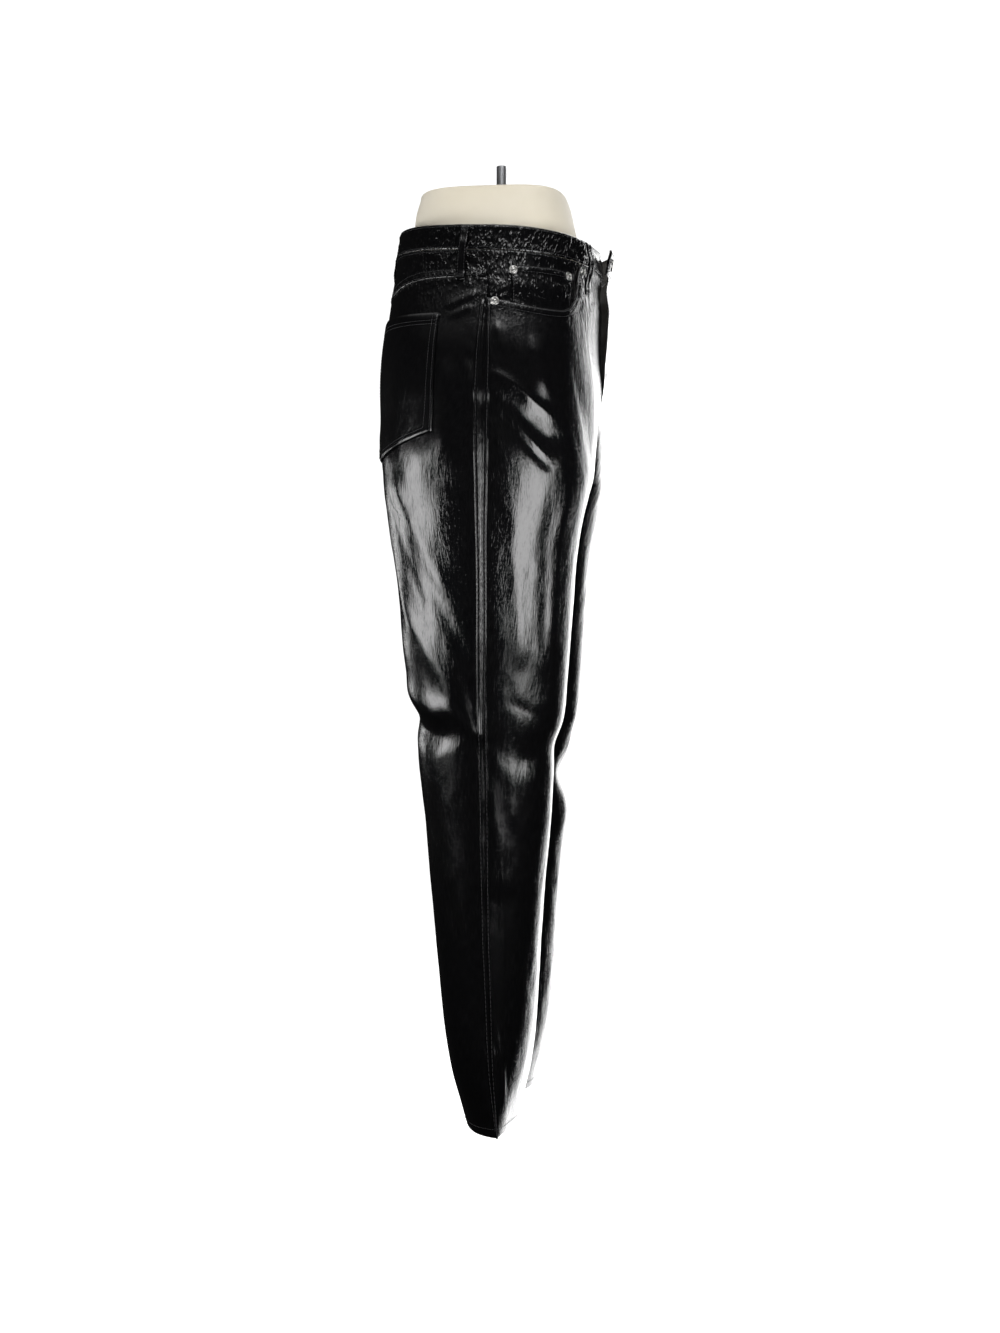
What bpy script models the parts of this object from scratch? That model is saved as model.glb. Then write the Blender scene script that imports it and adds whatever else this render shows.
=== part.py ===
# Faux leather bootcut trousers, worn by a limbless hip form that hangs from a metal rod.
# Metres in the scene, millimetres in the tables (MM turns one into the other). +Z is up, the front
# faces -Y, and the wearer's right is -X. The origin is the middle of the rod's top end.
# "drop" runs down the cloth from the waist's top edge. "turn" runs round one leg: 0 is the centre
# front or the inseam, 1 the side seam and 2 the centre back or the inseam again.
import math

import bmesh
import bpy
import numpy as np
from mathutils import Matrix, Vector

MM = 0.001
RIGHT, LEFT = -1, 1

# Driving dimensions
ROD_TOP_TO_WAIST = 104.0  # from the rod's top down to the waist's edge at the side seams
WAISTBAND_HEIGHT = 29.5
WAISTBAND_PROUD = 0.7
WAISTBAND_WALL = 2.4
CLOTH_WALL = 1.2
FACING_WALL = 1.0
HEM_WALL = 2.4
HEM_DEPTH = 11.0
HEM_STEP = 0.8  # over this height the wall thickens to the hem's
HEM_LEVEL = 1033.5  # of the panels' lowest row, before it is moved to the hem's own edge
SEAM_GAP = 0.3
PANEL_TOP = WAISTBAND_HEIGHT + SEAM_GAP
SEAM_TURN = 0.0008  # half a seam gap, as a share of a quarter of the body
RISE_START = 165.0  # here the centre seams begin to curve in towards the crotch
CROTCH_DROP = 278.0
RISE_POWER = 2.3  # of the curve's superellipse
LEG_START, LEG_END = 120.0, 330.0  # between these the body's round turns into the legs' own
LAP_TURN = -0.036  # the fly's free edge, 8 mm past the centre front
LAP_ROOT = 0.25  # and the place where it leaves the body's surface
LAP_COLUMNS = np.array([0, 0.3, 0.6])  # extra ones on the lap, as shares of the way to the panel's second
BAND_LAP_TURN = -0.1  # the waistband's left end, 22 mm past the centre front
BAND_UNDERLAP_TURN = -0.04
LAP_CLOSED = 164.0  # the edge is back at the centre front here
LAP_END = 187.0  # and against the body here
TILT_SLOPE = -0.02  # of the waist from back to front, with how far it bends in front and behind
TILT_BENDS = 0.00034, -0.00085
TILT_START, TILT_LENGTH = 30.0, 160.0  # the tilt fades between these levels
WAIST_QUARTER = 222.0  # millimetres of cloth to one turn at the waist
FOLD_SCALE = 0.42
FOLD_END = 30.0  # over this length a fold dies away
LOOP_WIDTH = 11.0
LOOP_TOP = 3.0
LOOP_LENGTH = 64.0
RIVET_RADIUS = 5.2
RIVET_HEIGHT = 1.6
BUTTON_RADIUS = 8.2
BUTTON_HEIGHT = 3.0
ROD_RADIUS = 6.0
ROD_SEAT = 30.0
CAP_DROP = -54.5  # the form's flat top, above the waist
FORM_SEGMENTS = 36
SURFACE_GAP = 0.98  # under a patch that follows the cloth, whose facets are flatter than its own
FACING_TUCK = 3.2  # how far a pocket's facing slips behind the front panel's edge
TUCK_START, TUCK_LENGTH = 24.0, 20.0  # above that edge
COIN_POCKET_SEAT = 0.5


class Table:
    """Rows of numbers under named columns, read as smooth curves over the first column."""

    def __init__(self, columns, *rows):
        self.columns = columns.split()
        self.values = np.array(rows, float)

    def read(self, name, at):
        x = self.values[:, 0]
        y = self.values[:, self.columns.index(name)]
        slope = np.gradient(y, x)
        at = np.clip(at, x[0], x[-1])
        row = np.clip(np.searchsorted(x, at, side="right") - 1, 0, len(x) - 2)
        span = x[row + 1] - x[row]
        t = (at - x[row]) / span
        start = (1 + 2 * t) * (1 - t) ** 2 * y[row] + t * (1 - t) ** 2 * span * slope[row]
        end = t * t * (3 - 2 * t) * y[row + 1] + t * t * (t - 1) * span * slope[row + 1]
        return start + end


# Half of the garment, level by level. side and inner are how far the side seam and the inseam lie
# from the middle plane, front and back are the foremost and rearmost y, seam_y and inseam_y the y
# of those two seams, and square is the superellipse power (2 is an ellipse).
LEVELS = Table(
    "drop side inner front back seam_y inseam_y square",
    (0, 143.0, 0.0, -120.5, 121.0, 4.0, 0.0, 2.15),
    (28, 147.5, 0.0, -123.5, 124.0, 3.0, 0.0, 2.15),
    (50, 152.0, 0.0, -120.5, 126.5, 0.0, 0.0, 2.20),
    (70, 156.5, 0.0, -122.0, 129.5, -3.0, 0.0, 2.25),
    (100, 164.0, 0.0, -121.5, 133.5, -2.0, 0.0, 2.35),
    (140, 174.0, 0.0, -121.5, 137.5, -1.0, 2.0, 2.55),
    (165, 178.5, 0.0, -122.3, 138.0, -0.5, 3.5, 2.60),
    (190, 182.5, 0.0, -122.5, 137.0, 0.0, 5.0, 2.60),
    (215, 184.7, 0.0, -121.5, 135.5, 0.0, 7.0, 2.55),
    (240, 186.3, 0.0, -120.3, 135.0, 0.0, 8.5, 2.50),
    (262, 187.3, 0.0, -119.0, 133.0, 0.0, 10.0, 2.45),
    (285, 187.5, 0.5, -117.5, 129.0, 0.0, 10.0, 2.35),
    (310, 187.5, 6.0, -112.5, 125.0, 0.0, 9.0, 2.25),
    (360, 186.0, 16.0, -102.5, 115.5, 0.0, 8.0, 2.10),
    (428, 181.5, 26.0, -96.0, 107.0, 0.0, 6.0, 2.05),
    (485, 176.0, 34.0, -92.0, 102.5, 1.0, 4.0, 2.05),
    (525, 171.5, 39.0, -89.0, 96.0, 2.0, 3.0, 2.00),
    (565, 167.5, 43.5, -85.0, 88.0, 1.5, 2.0, 2.00),
    (595, 165.0, 46.0, -77.5, 85.5, 1.0, 2.0, 2.00),
    (625, 163.5, 48.0, -74.0, 83.0, 0.5, 1.0, 2.00),
    (680, 162.5, 50.0, -70.5, 76.5, 0.0, 0.0, 2.00),
    (740, 164.5, 48.0, -64.5, 71.0, -1.0, 0.0, 2.00),
    (809, 170.0, 43.0, -59.5, 64.5, -3.0, 0.0, 2.00),
    (880, 178.0, 35.5, -55.5, 57.0, -7.0, -1.0, 2.00),
    (936, 185.5, 28.0, -51.0, 50.5, -10.0, -2.0, 1.95),
    (972, 190.5, 22.0, -45.5, 43.5, -13.0, -3.0, 1.85),
    (1006, 196.0, 15.5, -37.5, 34.0, -17.0, -4.0, 1.65),
    (1036, 202.0, 9.0, -31.5, 26.0, -20.5, -4.0, 1.45),
)

# The largest folds, each a soft ridge (height above 0) or trough between two places on a leg.
FOLDS = (
    # side, turn, drop, to_turn, to_drop, width, height
    (RIGHT, 1.75, 508, 1.16, 564, 14, 3.0),  # step at the back of the knee
    (RIGHT, 1.75, 534, 1.20, 590, 14, -5.5),
    (RIGHT, 0.25, 588, 0.85, 612, 18, -3.0),  # knee break in front
    (LEFT, 1.72, 514, 1.18, 548, 15, 3.0),
    (LEFT, 1.75, 542, 1.20, 574, 15, -5.0),
    (LEFT, 0.15, 634, 0.85, 646, 24, -13.0),  # deeper break on the left leg
    (LEFT, 0.20, 688, 0.80, 698, 26, 2.5),
    (RIGHT, 0.98, 203, 0.72, 258, 16, -3.0),  # drag from the side seam across the thigh
    (LEFT, 0.97, 210, 0.70, 262, 16, -3.0),
    (RIGHT, 0.90, 760, 0.88, 930, 14, -2.5),  # long crease down the lower leg
    (LEFT, 0.86, 740, 0.90, 905, 14, -2.5),
    (RIGHT, 1.08, 288, 1.40, 345, 18, -3.0),  # below the back pocket
    (LEFT, 1.10, 292, 1.45, 350, 18, -3.0),
)

# Edges of the pieces, as drops round the body
OPENING = Table(
    "turn drop",
    (0.375, PANEL_TOP),
    (0.385, 44.0),
    (0.405, 62.0),
    (0.430, 75.0),
    (0.462, 85.5),
    (0.512, 92.5),
    (0.580, 95.0),
    (0.720, 95.5),
    (0.850, 92.5),
    (1.000, 86.0),
)
YOKE_SEAM = Table(
    "turn drop", (1.0, 62.0), (1.16, 62.0), (1.43, 65.5), (1.6, 71.5), (1.75, 78.0), (2.0, 84.0)
)
# The back pocket's two sides and where they end, and the depth of its point below them
POCKET_SIDES = Table("drop near far", (105, 1.212, 1.844), (241, 1.152, 1.800))
POCKET_POINT = 27.0
POCKET_COLUMNS = np.array([0, 0.07, 0.15, 0.24, 0.35, 0.5, 0.66, 0.83, 1])  # closer where it rounds the hip
HEM = Table("turn drop", (0.0, 1033.0), (0.5, 1030.5), (1.0, 1028.5), (1.5, 1034.5), (2.0, 1033.0))
# How far the free edge of the fly's lap, and the waistband's end above it, stand out from the body
LAP_EDGE = Table(
    "drop lift",
    (0, 16.5),
    (6, 14.6),
    (12, 12.0),
    (20, 9.6),
    (28, 8.3),
    (60, 9.4),
    (100, 9.2),
    (130, 7.6),
    (150, 5.4),
    (165, 3.2),
    (178, 2.2),
    (187, 1.9),
)
# The form's rings. It is close against the cloth at the sides of the hips, and narrower elsewhere.
FORM_LEVELS = Table(
    "drop side front back square",
    (-54.5, 105.0, -81.5, 91.0, 3.7),
    (-53.5, 106.0, -82.5, 92.0, 3.7),
    (-50.0, 107.0, -83.5, 93.0, 3.6),
    (-35.0, 112.0, -87.0, 99.0, 3.1),
    (-14.0, 119.5, -92.2, 103.0, 2.6),
    (0.0, 126.0, -97.0, 105.5, 2.3),
    (40.0, 139.0, -104.0, 109.0, 2.1),
    (90.0, 153.5, -111.0, 120.5, 2.2),
    (112.0, 161.0, -112.5, 125.5, 2.3),
    (140.0, 171.3, -115.0, 131.0, 2.4),
    (170.0, 176.9, -114.0, 133.0, 2.5),
    (200.0, 175.0, -103.0, 120.0, 2.4),
    (228.0, 160.0, -83.0, 97.0, 2.3),
    (248.0, 128.0, -56.0, 66.0, 2.2),
    (258.0, 85.0, -34.0, 42.0, 2.1),
    (262.0, 40.0, -15.0, 20.0, 2.0),
)

# Colour, roughness and metallic value of each finish
PATENT = ("black_patent", (0.012, 0.012, 0.014), 0.18, 0.0)
METAL = ("silver_metal", (0.78, 0.77, 0.75), 0.28, 1.0)
COVER = ("cream_cover", (0.80, 0.74, 0.62), 0.85, 0.0)
STEEL = ("brushed_rod", (0.55, 0.56, 0.58), 0.35, 1.0)


def smooth_step(value):
    value = np.clip(value, 0.0, 1.0)
    return value * value * (3 - 2 * value)


def signed_power(value, power):
    return np.sign(value) * np.abs(value) ** power


def waist_tilt(y, drop):
    """The waist dips in front and rises behind, and the slope is gone by the hips."""
    slope = TILT_SLOPE * y + np.where(y < 0, *TILT_BENDS) * y * y
    return slope * (1 - smooth_step((drop - TILT_START) / TILT_LENGTH))


def section(turn, drop):
    """Lateral distance and y of the cloth. Down the hips the fullest place slides from the centre
    of the body to the middle of each leg, while the centre seam curves in to the crotch."""
    value = {name: LEVELS.read(name, drop) for name in LEVELS.columns[1:]}
    reach = np.where(turn <= 1, value["front"], value["back"])
    power = 2 / value["square"]
    ahead = np.clip(np.where(turn <= 1, turn, 2 - turn), 0, 1)
    leg_share = smooth_step((drop - LEG_START) / (LEG_END - LEG_START))
    peak = np.maximum(0.5 * leg_share, 0.0001)
    across = signed_power(np.cos(ahead * math.pi), power)
    on_body = np.sin(ahead * math.pi / 2) ** power
    share = on_body + ((1 - across) / 2 - on_body) * leg_share
    level = value["inseam_y"] + (value["seam_y"] - value["inseam_y"]) * share
    rise = np.clip((drop - RISE_START) / (CROTCH_DROP - RISE_START), 0, 1)
    centre = (1 - rise**RISE_POWER) ** (1 / RISE_POWER)
    inside = centre + (1 - centre) * np.sin(np.clip(ahead / peak, 0, 1) * math.pi / 2) ** power
    outside = np.sin((1 - ahead) / (1 - peak) * math.pi / 2)
    fullness = np.where(ahead < peak, inside, np.clip(outside, 0, 1) ** power)
    x = value["inner"] + (value["side"] - value["inner"]) * share
    return x, level + (reach - level) * fullness


def turn_length(drop):
    """Millimetres that one turn counts for where the folds are measured."""
    depth = LEVELS.read("back", drop) - LEVELS.read("front", drop)
    return FOLD_SCALE * (LEVELS.read("side", drop) - LEVELS.read("inner", drop) + depth)


def fold_height(side, turn, drop):
    total = np.zeros(np.broadcast(turn, drop).shape)
    for fold_side, turn_a, drop_a, turn_b, drop_b, width, height in FOLDS:
        if fold_side != side:
            continue
        scale = turn_length((drop_a + drop_b) / 2)
        run = np.array([(turn_b - turn_a) * scale, drop_b - drop_a])
        length = np.linalg.norm(run)
        off = np.stack(np.broadcast_arrays((turn - turn_a) * scale, drop - drop_a))
        along = (off[0] * run[0] + off[1] * run[1]) / length
        aside = (off[0] * run[1] - off[1] * run[0]) / length
        ends = smooth_step(along / FOLD_END + 0.5) * smooth_step((length - along) / FOLD_END + 0.5)
        total = total + height * np.exp(-((aside / width) ** 2)) * ends
    return total


def lap_lift(turn, drop):
    """How far the left front's fly edge stands out from the body."""
    lift = np.where(drop < LAP_END, LAP_EDGE.read("lift", drop), 0)
    return lift * smooth_step((LAP_ROOT - turn) / (LAP_ROOT - LAP_TURN))


def bare_point(side, turn, drop):
    """The cloth's outer face before offsets: lateral distance, y and height."""
    on_leg = drop > CROTCH_DROP
    under, over = turn < 0, turn > 2
    x, y = section(np.where(on_leg, turn % 2.0, np.where(over, 4 - turn, np.abs(turn))), drop)
    z = -(ROD_TOP_TO_WAIST + drop + waist_tilt(y, drop))
    y = y - (lap_lift(turn, drop) if side == LEFT else 0)
    other_side = (under | over) & ~on_leg
    return np.stack(np.broadcast_arrays(np.where(other_side, -x, x), y, z), axis=-1)


def outward(side, turn, drop):
    step_turn, step_drop = 0.004, 1.0
    round_it = bare_point(side, turn + step_turn, drop) - bare_point(side, turn - step_turn, drop)
    down_it = bare_point(side, turn, drop + step_drop) - bare_point(side, turn, drop - step_drop)
    normal = np.cross(down_it, round_it)
    return normal / np.linalg.norm(normal, axis=-1, keepdims=True)


def cloth(side, turn, drop, out=0.0):
    """World points on the cloth, moved out from its outer face by out millimetres."""
    turn, drop, out = np.broadcast_arrays(*(np.asarray(v, float) for v in (turn, drop, out)))
    moved = (out + fold_height(side, turn, drop))[..., None] * outward(side, turn, drop)
    point = bare_point(side, turn, drop) + moved
    return point * (side, 1, 1)


def trim_to_seams(points, side, drops, front):
    """Holds a panel half a seam gap off the middle plane, and off the side seam and inseam."""
    lateral = np.maximum(side * points[..., 0], SEAM_GAP / 2)
    value = {name: LEVELS.read(name, drops) for name in ("side", "inner", "seam_y", "inseam_y")}
    share = (lateral - value["inner"]) / (value["side"] - value["inner"])
    seam_y = value["inseam_y"] + (value["seam_y"] - value["inseam_y"]) * np.clip(share, 0, 1)
    if front:
        y = np.minimum(points[..., 1], seam_y - SEAM_GAP / 2)
    else:
        y = np.maximum(points[..., 1], seam_y + SEAM_GAP / 2)
    return np.stack([side * lateral, y, points[..., 2]], axis=-1)


def make_material(name, colour, roughness, metallic):
    material = bpy.data.materials.get(name) or bpy.data.materials.new(name)
    material.use_nodes = True
    shader = material.node_tree.nodes["Principled BSDF"]
    shader.inputs["Base Color"].default_value = (*colour, 1)
    shader.inputs["Roughness"].default_value = roughness
    shader.inputs["Metallic"].default_value = metallic
    return material


def add_object(name, shape, finish, sharp=50):
    bmesh.ops.recalc_face_normals(shape, faces=shape.faces)
    if shape.calc_volume(signed=True) < 0:
        bmesh.ops.reverse_faces(shape, faces=shape.faces)
    mesh = bpy.data.meshes.new(name)
    shape.to_mesh(mesh)
    shape.free()
    mesh.shade_smooth()
    mesh.set_sharp_from_angle(angle=math.radians(sharp))
    mesh.materials.append(make_material(*finish))
    thing = bpy.data.objects.new(name, mesh)
    bpy.context.collection.objects.link(thing)
    return thing


def make_wall(name, outer, inner, finish=PATENT):
    """A closed sheet between two grids of points, joined round their rims."""
    shape = bmesh.new()
    skins = [[[shape.verts.new(Vector(p) * MM) for p in row] for row in grid] for grid in (outer, inner)]
    rows, columns = outer.shape[:2]
    for skin in skins:
        for i in range(rows - 1):
            for j in range(columns - 1):
                shape.faces.new((skin[i][j], skin[i + 1][j], skin[i + 1][j + 1], skin[i][j + 1]))
    rim = [(0, j) for j in range(columns)] + [(i, columns - 1) for i in range(1, rows)]
    rim += [(rows - 1, j) for j in range(columns - 2, -1, -1)] + [(i, 0) for i in range(rows - 2, 0, -1)]
    for (i, j), (k, m) in zip(rim, rim[1:] + rim[:1]):
        shape.faces.new((skins[0][i][j], skins[0][k][m], skins[1][k][m], skins[1][i][j]))
    return add_object(name, shape, finish)


def panel_levels():
    """Levels of a leg panel: closer together round the crotch, the knee and the hem."""
    hips = np.linspace(PANEL_TOP, RISE_START, 6)
    angle = np.radians(np.arange(13, 91, 12.833))
    rise = RISE_START + (CROTCH_DROP - RISE_START) * np.sin(angle)
    thigh = np.linspace(CROTCH_DROP + 20, 500, 8)
    knee = np.linspace(520, 720, 13)
    calf = np.linspace(748, 998, 9)
    hem = HEM_LEVEL - np.array([HEM_DEPTH + HEM_STEP, HEM_DEPTH, 0])
    return np.concatenate([hips, rise, thigh, knee, calf, hem])


def stretch(levels, top, bottom, settle=215.0):
    """Moves the levels so that they start at a piece's own top edge and end at its hem."""
    start, end = levels[0], levels[-1]
    near_top = top + (levels - start) * (settle - top) / (settle - start)
    moved = np.where(levels < settle, near_top, levels)
    return moved + (bottom - end) * smooth_step((levels - 900) / (end - 900))


def front_turns(side, drop):
    """Turns of a front panel's columns, crowded at the pocket's corner and even on the leg."""
    hips = np.array([0.0, 0.11, 0.22, 0.32, 0.375, 0.395, 0.42, 0.462, 0.52, 0.60, 0.73, 0.87, 1.0])
    even = np.linspace(0, 1, len(hips))
    share = smooth_step((drop - 100) / 150)
    turns = hips + (even - hips) * share
    if side == RIGHT:
        turns[0] = 0.0
        return np.append(turns[:-1], 1 - SEAM_TURN)
    edge = LAP_TURN * (1 - smooth_step((drop - 140) / (LAP_CLOSED - 140)))
    lap = edge + (turns[1] - edge) * LAP_COLUMNS
    return np.append(np.concatenate([lap, turns[1:-1]]), 1 - SEAM_TURN)


def back_turns(drop):
    """Turns of a back panel's columns, along the pocket's sides above and even on the leg."""
    near, far = POCKET_SIDES.read("near", drop), POCKET_SIDES.read("far", drop)
    hips = np.concatenate([[1, (1 + near) / 2], near + (far - near) * POCKET_COLUMNS, [(2 + far) / 2, 2]])
    turns = hips + (np.linspace(1, 2, len(hips)) - hips) * smooth_step((drop - 270) / 120)
    turns[0] += SEAM_TURN
    return turns


def leg_panel(name, side, front):
    """One front or back panel, from its top edge to the hem, thicker where the hem turns up."""
    columns_at = (lambda drop: front_turns(side, drop)) if front else back_turns
    top_at = front_top if front else back_top
    levels = panel_levels()
    turns = np.array([columns_at(level) for level in levels])
    hem = HEM.read("drop", turns)
    drops = stretch(levels[:, None], top_at(turns[0])[None, :], hem)
    in_hem = levels > HEM_LEVEL - HEM_DEPTH - HEM_STEP / 2
    wall = np.where(in_hem, HEM_WALL, CLOTH_WALL)[:, None]
    outer = cloth(side, turns, drops)
    inner = cloth(side, turns, drops, -wall)
    lapped = (turns < 0)[..., None]
    skins = [np.where(lapped, skin, trim_to_seams(skin, side, drops, front)) for skin in (outer, inner)]
    return make_wall(name, *skins)


def front_top(turns):
    return np.where(turns < OPENING.values[0, 0], PANEL_TOP, OPENING.read("drop", turns))


def back_top(turns):
    return YOKE_SEAM.read("drop", turns) + SEAM_GAP / 2


def make_fronts_and_backs():
    yoke_turns = back_turns(PANEL_TOP)
    for side, word in ((RIGHT, "right"), (LEFT, "left")):
        leg_panel("front_" + word, side, True)
        leg_panel("back_" + word, side, False)
        drops = np.linspace(PANEL_TOP, YOKE_SEAM.read("drop", yoke_turns) - SEAM_GAP / 2, 4)
        skins = [cloth(side, yoke_turns, drops, out) for out in (0, -CLOTH_WALL)]
        make_wall("yoke_" + word, *(trim_to_seams(skin, side, drops, False) for skin in skins))


def facing_out(turn, drop):
    """A facing is level with the yoke at its top and slips under the front panel's edge."""
    return -FACING_TUCK * smooth_step((drop - front_top(turn) + TUCK_START) / TUCK_LENGTH)


def make_pocket_facings():
    turns = np.array([0.36, 0.395, 0.42, 0.465, 0.52, 0.60, 0.73, 0.875, 1 - SEAM_TURN])
    coin_top = 41.6 + 7.3 * turns
    bottom = np.maximum(OPENING.read("drop", turns) + 16, 70)
    above = PANEL_TOP + (coin_top - PANEL_TOP) * np.array([[0.0], [0.5]])
    drops = np.concatenate([above, coin_top + (bottom - coin_top) * np.linspace(0, 1, 7)[:, None]])
    out = facing_out(turns, drops)
    for side, word in ((RIGHT, "right"), (LEFT, "left")):
        inner = cloth(side, turns, drops, out - FACING_WALL)
        make_wall("facing_" + word, cloth(side, turns, drops, out), inner)
    turns, drops, out = turns[3:8], drops[2:, 3:8], out[2:, 3:8] + COIN_POCKET_SEAT
    outer = cloth(RIGHT, turns, drops, out + FACING_WALL)
    make_wall("coin_pocket", outer, cloth(RIGHT, turns, drops, out))


def make_waistband():
    right = np.concatenate([[BAND_UNDERLAP_TURN], np.linspace(0, 2, 21)])
    left = np.concatenate([np.linspace(1.9, 0.2, 18), [0.14, 0.08, 0.03, -0.02, -0.06, BAND_LAP_TURN]])
    drops = np.linspace(0, WAISTBAND_HEIGHT, 4)[:, None]
    skins = []
    for out in (WAISTBAND_PROUD, WAISTBAND_PROUD - WAISTBAND_WALL):
        halves = cloth(RIGHT, right, drops, out), cloth(LEFT, left, drops, out)
        skins.append(np.concatenate(halves, axis=1))
    make_wall("waistband", *skins)


def make_back_pockets():
    """A patch with a pointed bottom, its sides drawn in a little towards it."""
    top, bottom = POCKET_SIDES.values[:, 0]
    point = bottom + POCKET_POINT * (1 - np.abs(2 * POCKET_COLUMNS - 1))
    drops = top + (point - top) * np.linspace(0, 1, 13)[:, None]
    near, far = POCKET_SIDES.read("near", drops), POCKET_SIDES.read("far", drops)
    turns = near + (far - near) * POCKET_COLUMNS
    for side, word in ((RIGHT, "right"), (LEFT, "left")):
        outer = cloth(side, turns, drops, SURFACE_GAP + CLOTH_WALL)
        make_wall("back_pocket_" + word, outer, cloth(side, turns, drops, SURFACE_GAP))


def make_belt_loops():
    """Straps bent out over the waistband, their folded ends held close to the cloth."""
    stations = Table(
        "share out wall",
        (0.00, 1.2, 3.0),
        (0.10, 1.3, 3.0),
        (0.17, 2.4, 2.0),
        (0.30, 3.7, 2.0),
        (0.50, 4.1, 2.0),
        (0.70, 3.4, 2.0),
        (0.84, 1.6, 2.0),
        (0.90, 0.8, 3.0),
        (1.00, 0.6, 3.0),
    )
    places = (
        ("loop_front_right", RIGHT, 0.296, 0.320),
        ("loop_front_left", LEFT, 0.296, 0.320),
        ("loop_side_right", RIGHT, 1.092, 1.126),
        ("loop_side_left", LEFT, 1.092, 1.126),
        ("loop_back", RIGHT, 2.0, 2.0),
    )
    half = LOOP_WIDTH / 2 / WAIST_QUARTER
    share = stations.values[:, 0][:, None]
    out = stations.read("out", share)
    wall = stations.read("wall", share)
    for name, side, top, bottom in places:
        turns = top + (bottom - top) * share + np.array([-half, 0, half])
        drops = LOOP_TOP + LOOP_LENGTH * share
        if top < 2:
            outer = cloth(side, turns, drops, out + wall)
            make_wall(name, outer, cloth(side, turns, drops, out))
            continue
        skins = []
        for lift in (out + wall, out):
            near = cloth(RIGHT, turns[:, :2], drops, lift)
            skins.append(np.concatenate([near, near[:, :1] * (-1, 1, 1)], axis=1))
        make_wall(name, *skins)


def make_stud(name, side, turn, drop, out, radius, height):
    """A low domed metal disc, standing on the cloth along its outward direction."""
    base = Vector(cloth(side, turn, drop, out)) * MM
    axis = Vector(outward(side, np.float64(turn), np.float64(drop)) * (side, 1, 1))
    profile = ((0, 0), (1, 0), (1, 0.55), (0.86, 0.86), (0.62, 1.0), (0, 1.0))
    shape = bmesh.new()
    points = [shape.verts.new((r * radius * MM, 0, h * height * MM)) for r, h in profile]
    edges = [shape.edges.new(pair) for pair in zip(points, points[1:])]
    whole_turn = {"axis": (0, 0, 1), "cent": (0, 0, 0), "steps": 16, "angle": math.tau}
    bmesh.ops.spin(shape, geom=points + edges, use_merge=True, **whole_turn)
    bmesh.ops.remove_doubles(shape, verts=shape.verts, dist=0.00001)
    upright = axis.to_track_quat("Z", "Y").to_matrix().to_4x4()
    bmesh.ops.transform(shape, verts=shape.verts, matrix=Matrix.Translation(base) @ upright)
    return add_object(name, shape, METAL, sharp=30)


def make_metal_trim():
    rivets = (
        # name, side, turn, drop, out
        ("rivet_coin_front", RIGHT, 0.484, 51.0, 1.8),
        ("rivet_coin_back", RIGHT, 0.855, 54.0, 1.7),
        ("rivet_front_right", RIGHT, 0.358, 38.0, 1.4),
        ("rivet_front_left", LEFT, 0.358, 38.0, 1.4),
        ("rivet_side_right", RIGHT, 0.966, 91.5, 0.2),
        ("rivet_side_left", LEFT, 0.966, 91.5, 0.2),
    )
    for name, side, turn, drop, out in rivets:
        make_stud(name, side, turn, drop, out, RIVET_RADIUS, RIVET_HEIGHT)
    make_stud("button", LEFT, -0.03, 14.5, WAISTBAND_PROUD + 0.6, BUTTON_RADIUS, BUTTON_HEIGHT)


def form_ring(shape, drop):
    """One level of the form, a superellipse that reaches further behind than in front."""
    angle = np.arange(FORM_SEGMENTS) * math.tau / FORM_SEGMENTS
    value = {name: FORM_LEVELS.read(name, drop) for name in FORM_LEVELS.columns[1:]}
    power = 2 / value["square"]
    reach = np.where(np.cos(angle) > 0, value["back"], -value["front"])
    x = value["side"] * signed_power(np.sin(angle), power)
    y = reach * signed_power(np.cos(angle), power)
    z = -(ROD_TOP_TO_WAIST + drop)
    return [shape.verts.new((a * MM, b * MM, z * MM)) for a, b in zip(x, y)]


def make_form_and_rod():
    """The smooth hip form, with a blind hole for the rod, and the rod in it."""
    shape = bmesh.new()
    shoulder, underside = (CAP_DROP, -53.5, -50, -44, -35), (230, 243, 253, 260)
    drops = np.concatenate([shoulder, np.linspace(-20, 215, 12), underside])
    rings = [form_ring(shape, drop) for drop in drops]
    for upper, lower in zip(rings, rings[1:]):
        for i in range(FORM_SEGMENTS):
            j = (i + 1) % FORM_SEGMENTS
            shape.faces.new((upper[i], lower[i], lower[j], upper[j]))
    shape.faces.new(rings[0])
    shape.faces.new(rings[-1])
    form = add_object("hip_form", shape, COVER)
    form_top = ROD_TOP_TO_WAIST + CAP_DROP
    make_cylinder("rod", ROD_RADIUS, 0.0, form_top + ROD_SEAT, STEEL)
    hole_bottom = form_top + ROD_SEAT + SEAM_GAP
    hole = make_cylinder("rod_hole", ROD_RADIUS + SEAM_GAP, form_top - ROD_SEAT, hole_bottom, COVER)
    hole.hide_render = True
    hole.display_type = "WIRE"
    cut = form.modifiers.new("rod hole", "BOOLEAN")
    cut.operation = "DIFFERENCE"
    cut.solver = "EXACT"
    cut.object = hole


def make_cylinder(name, radius, top, bottom, finish):
    shape = bmesh.new()
    size = {"radius1": radius * MM, "radius2": radius * MM, "depth": (bottom - top) * MM}
    bmesh.ops.create_cone(shape, cap_ends=True, segments=24, **size)
    bmesh.ops.translate(shape, verts=shape.verts, vec=(0, 0, -(top + bottom) / 2 * MM))
    return add_object(name, shape, finish)


for old in list(bpy.data.objects):
    bpy.data.objects.remove(old)
make_form_and_rod()
make_fronts_and_backs()
make_pocket_facings()
make_waistband()
make_back_pockets()
make_belt_loops()
make_metal_trim()
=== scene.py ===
import math

import bmesh
import bpy
import numpy as np
from mathutils import Matrix, Vector


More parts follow.
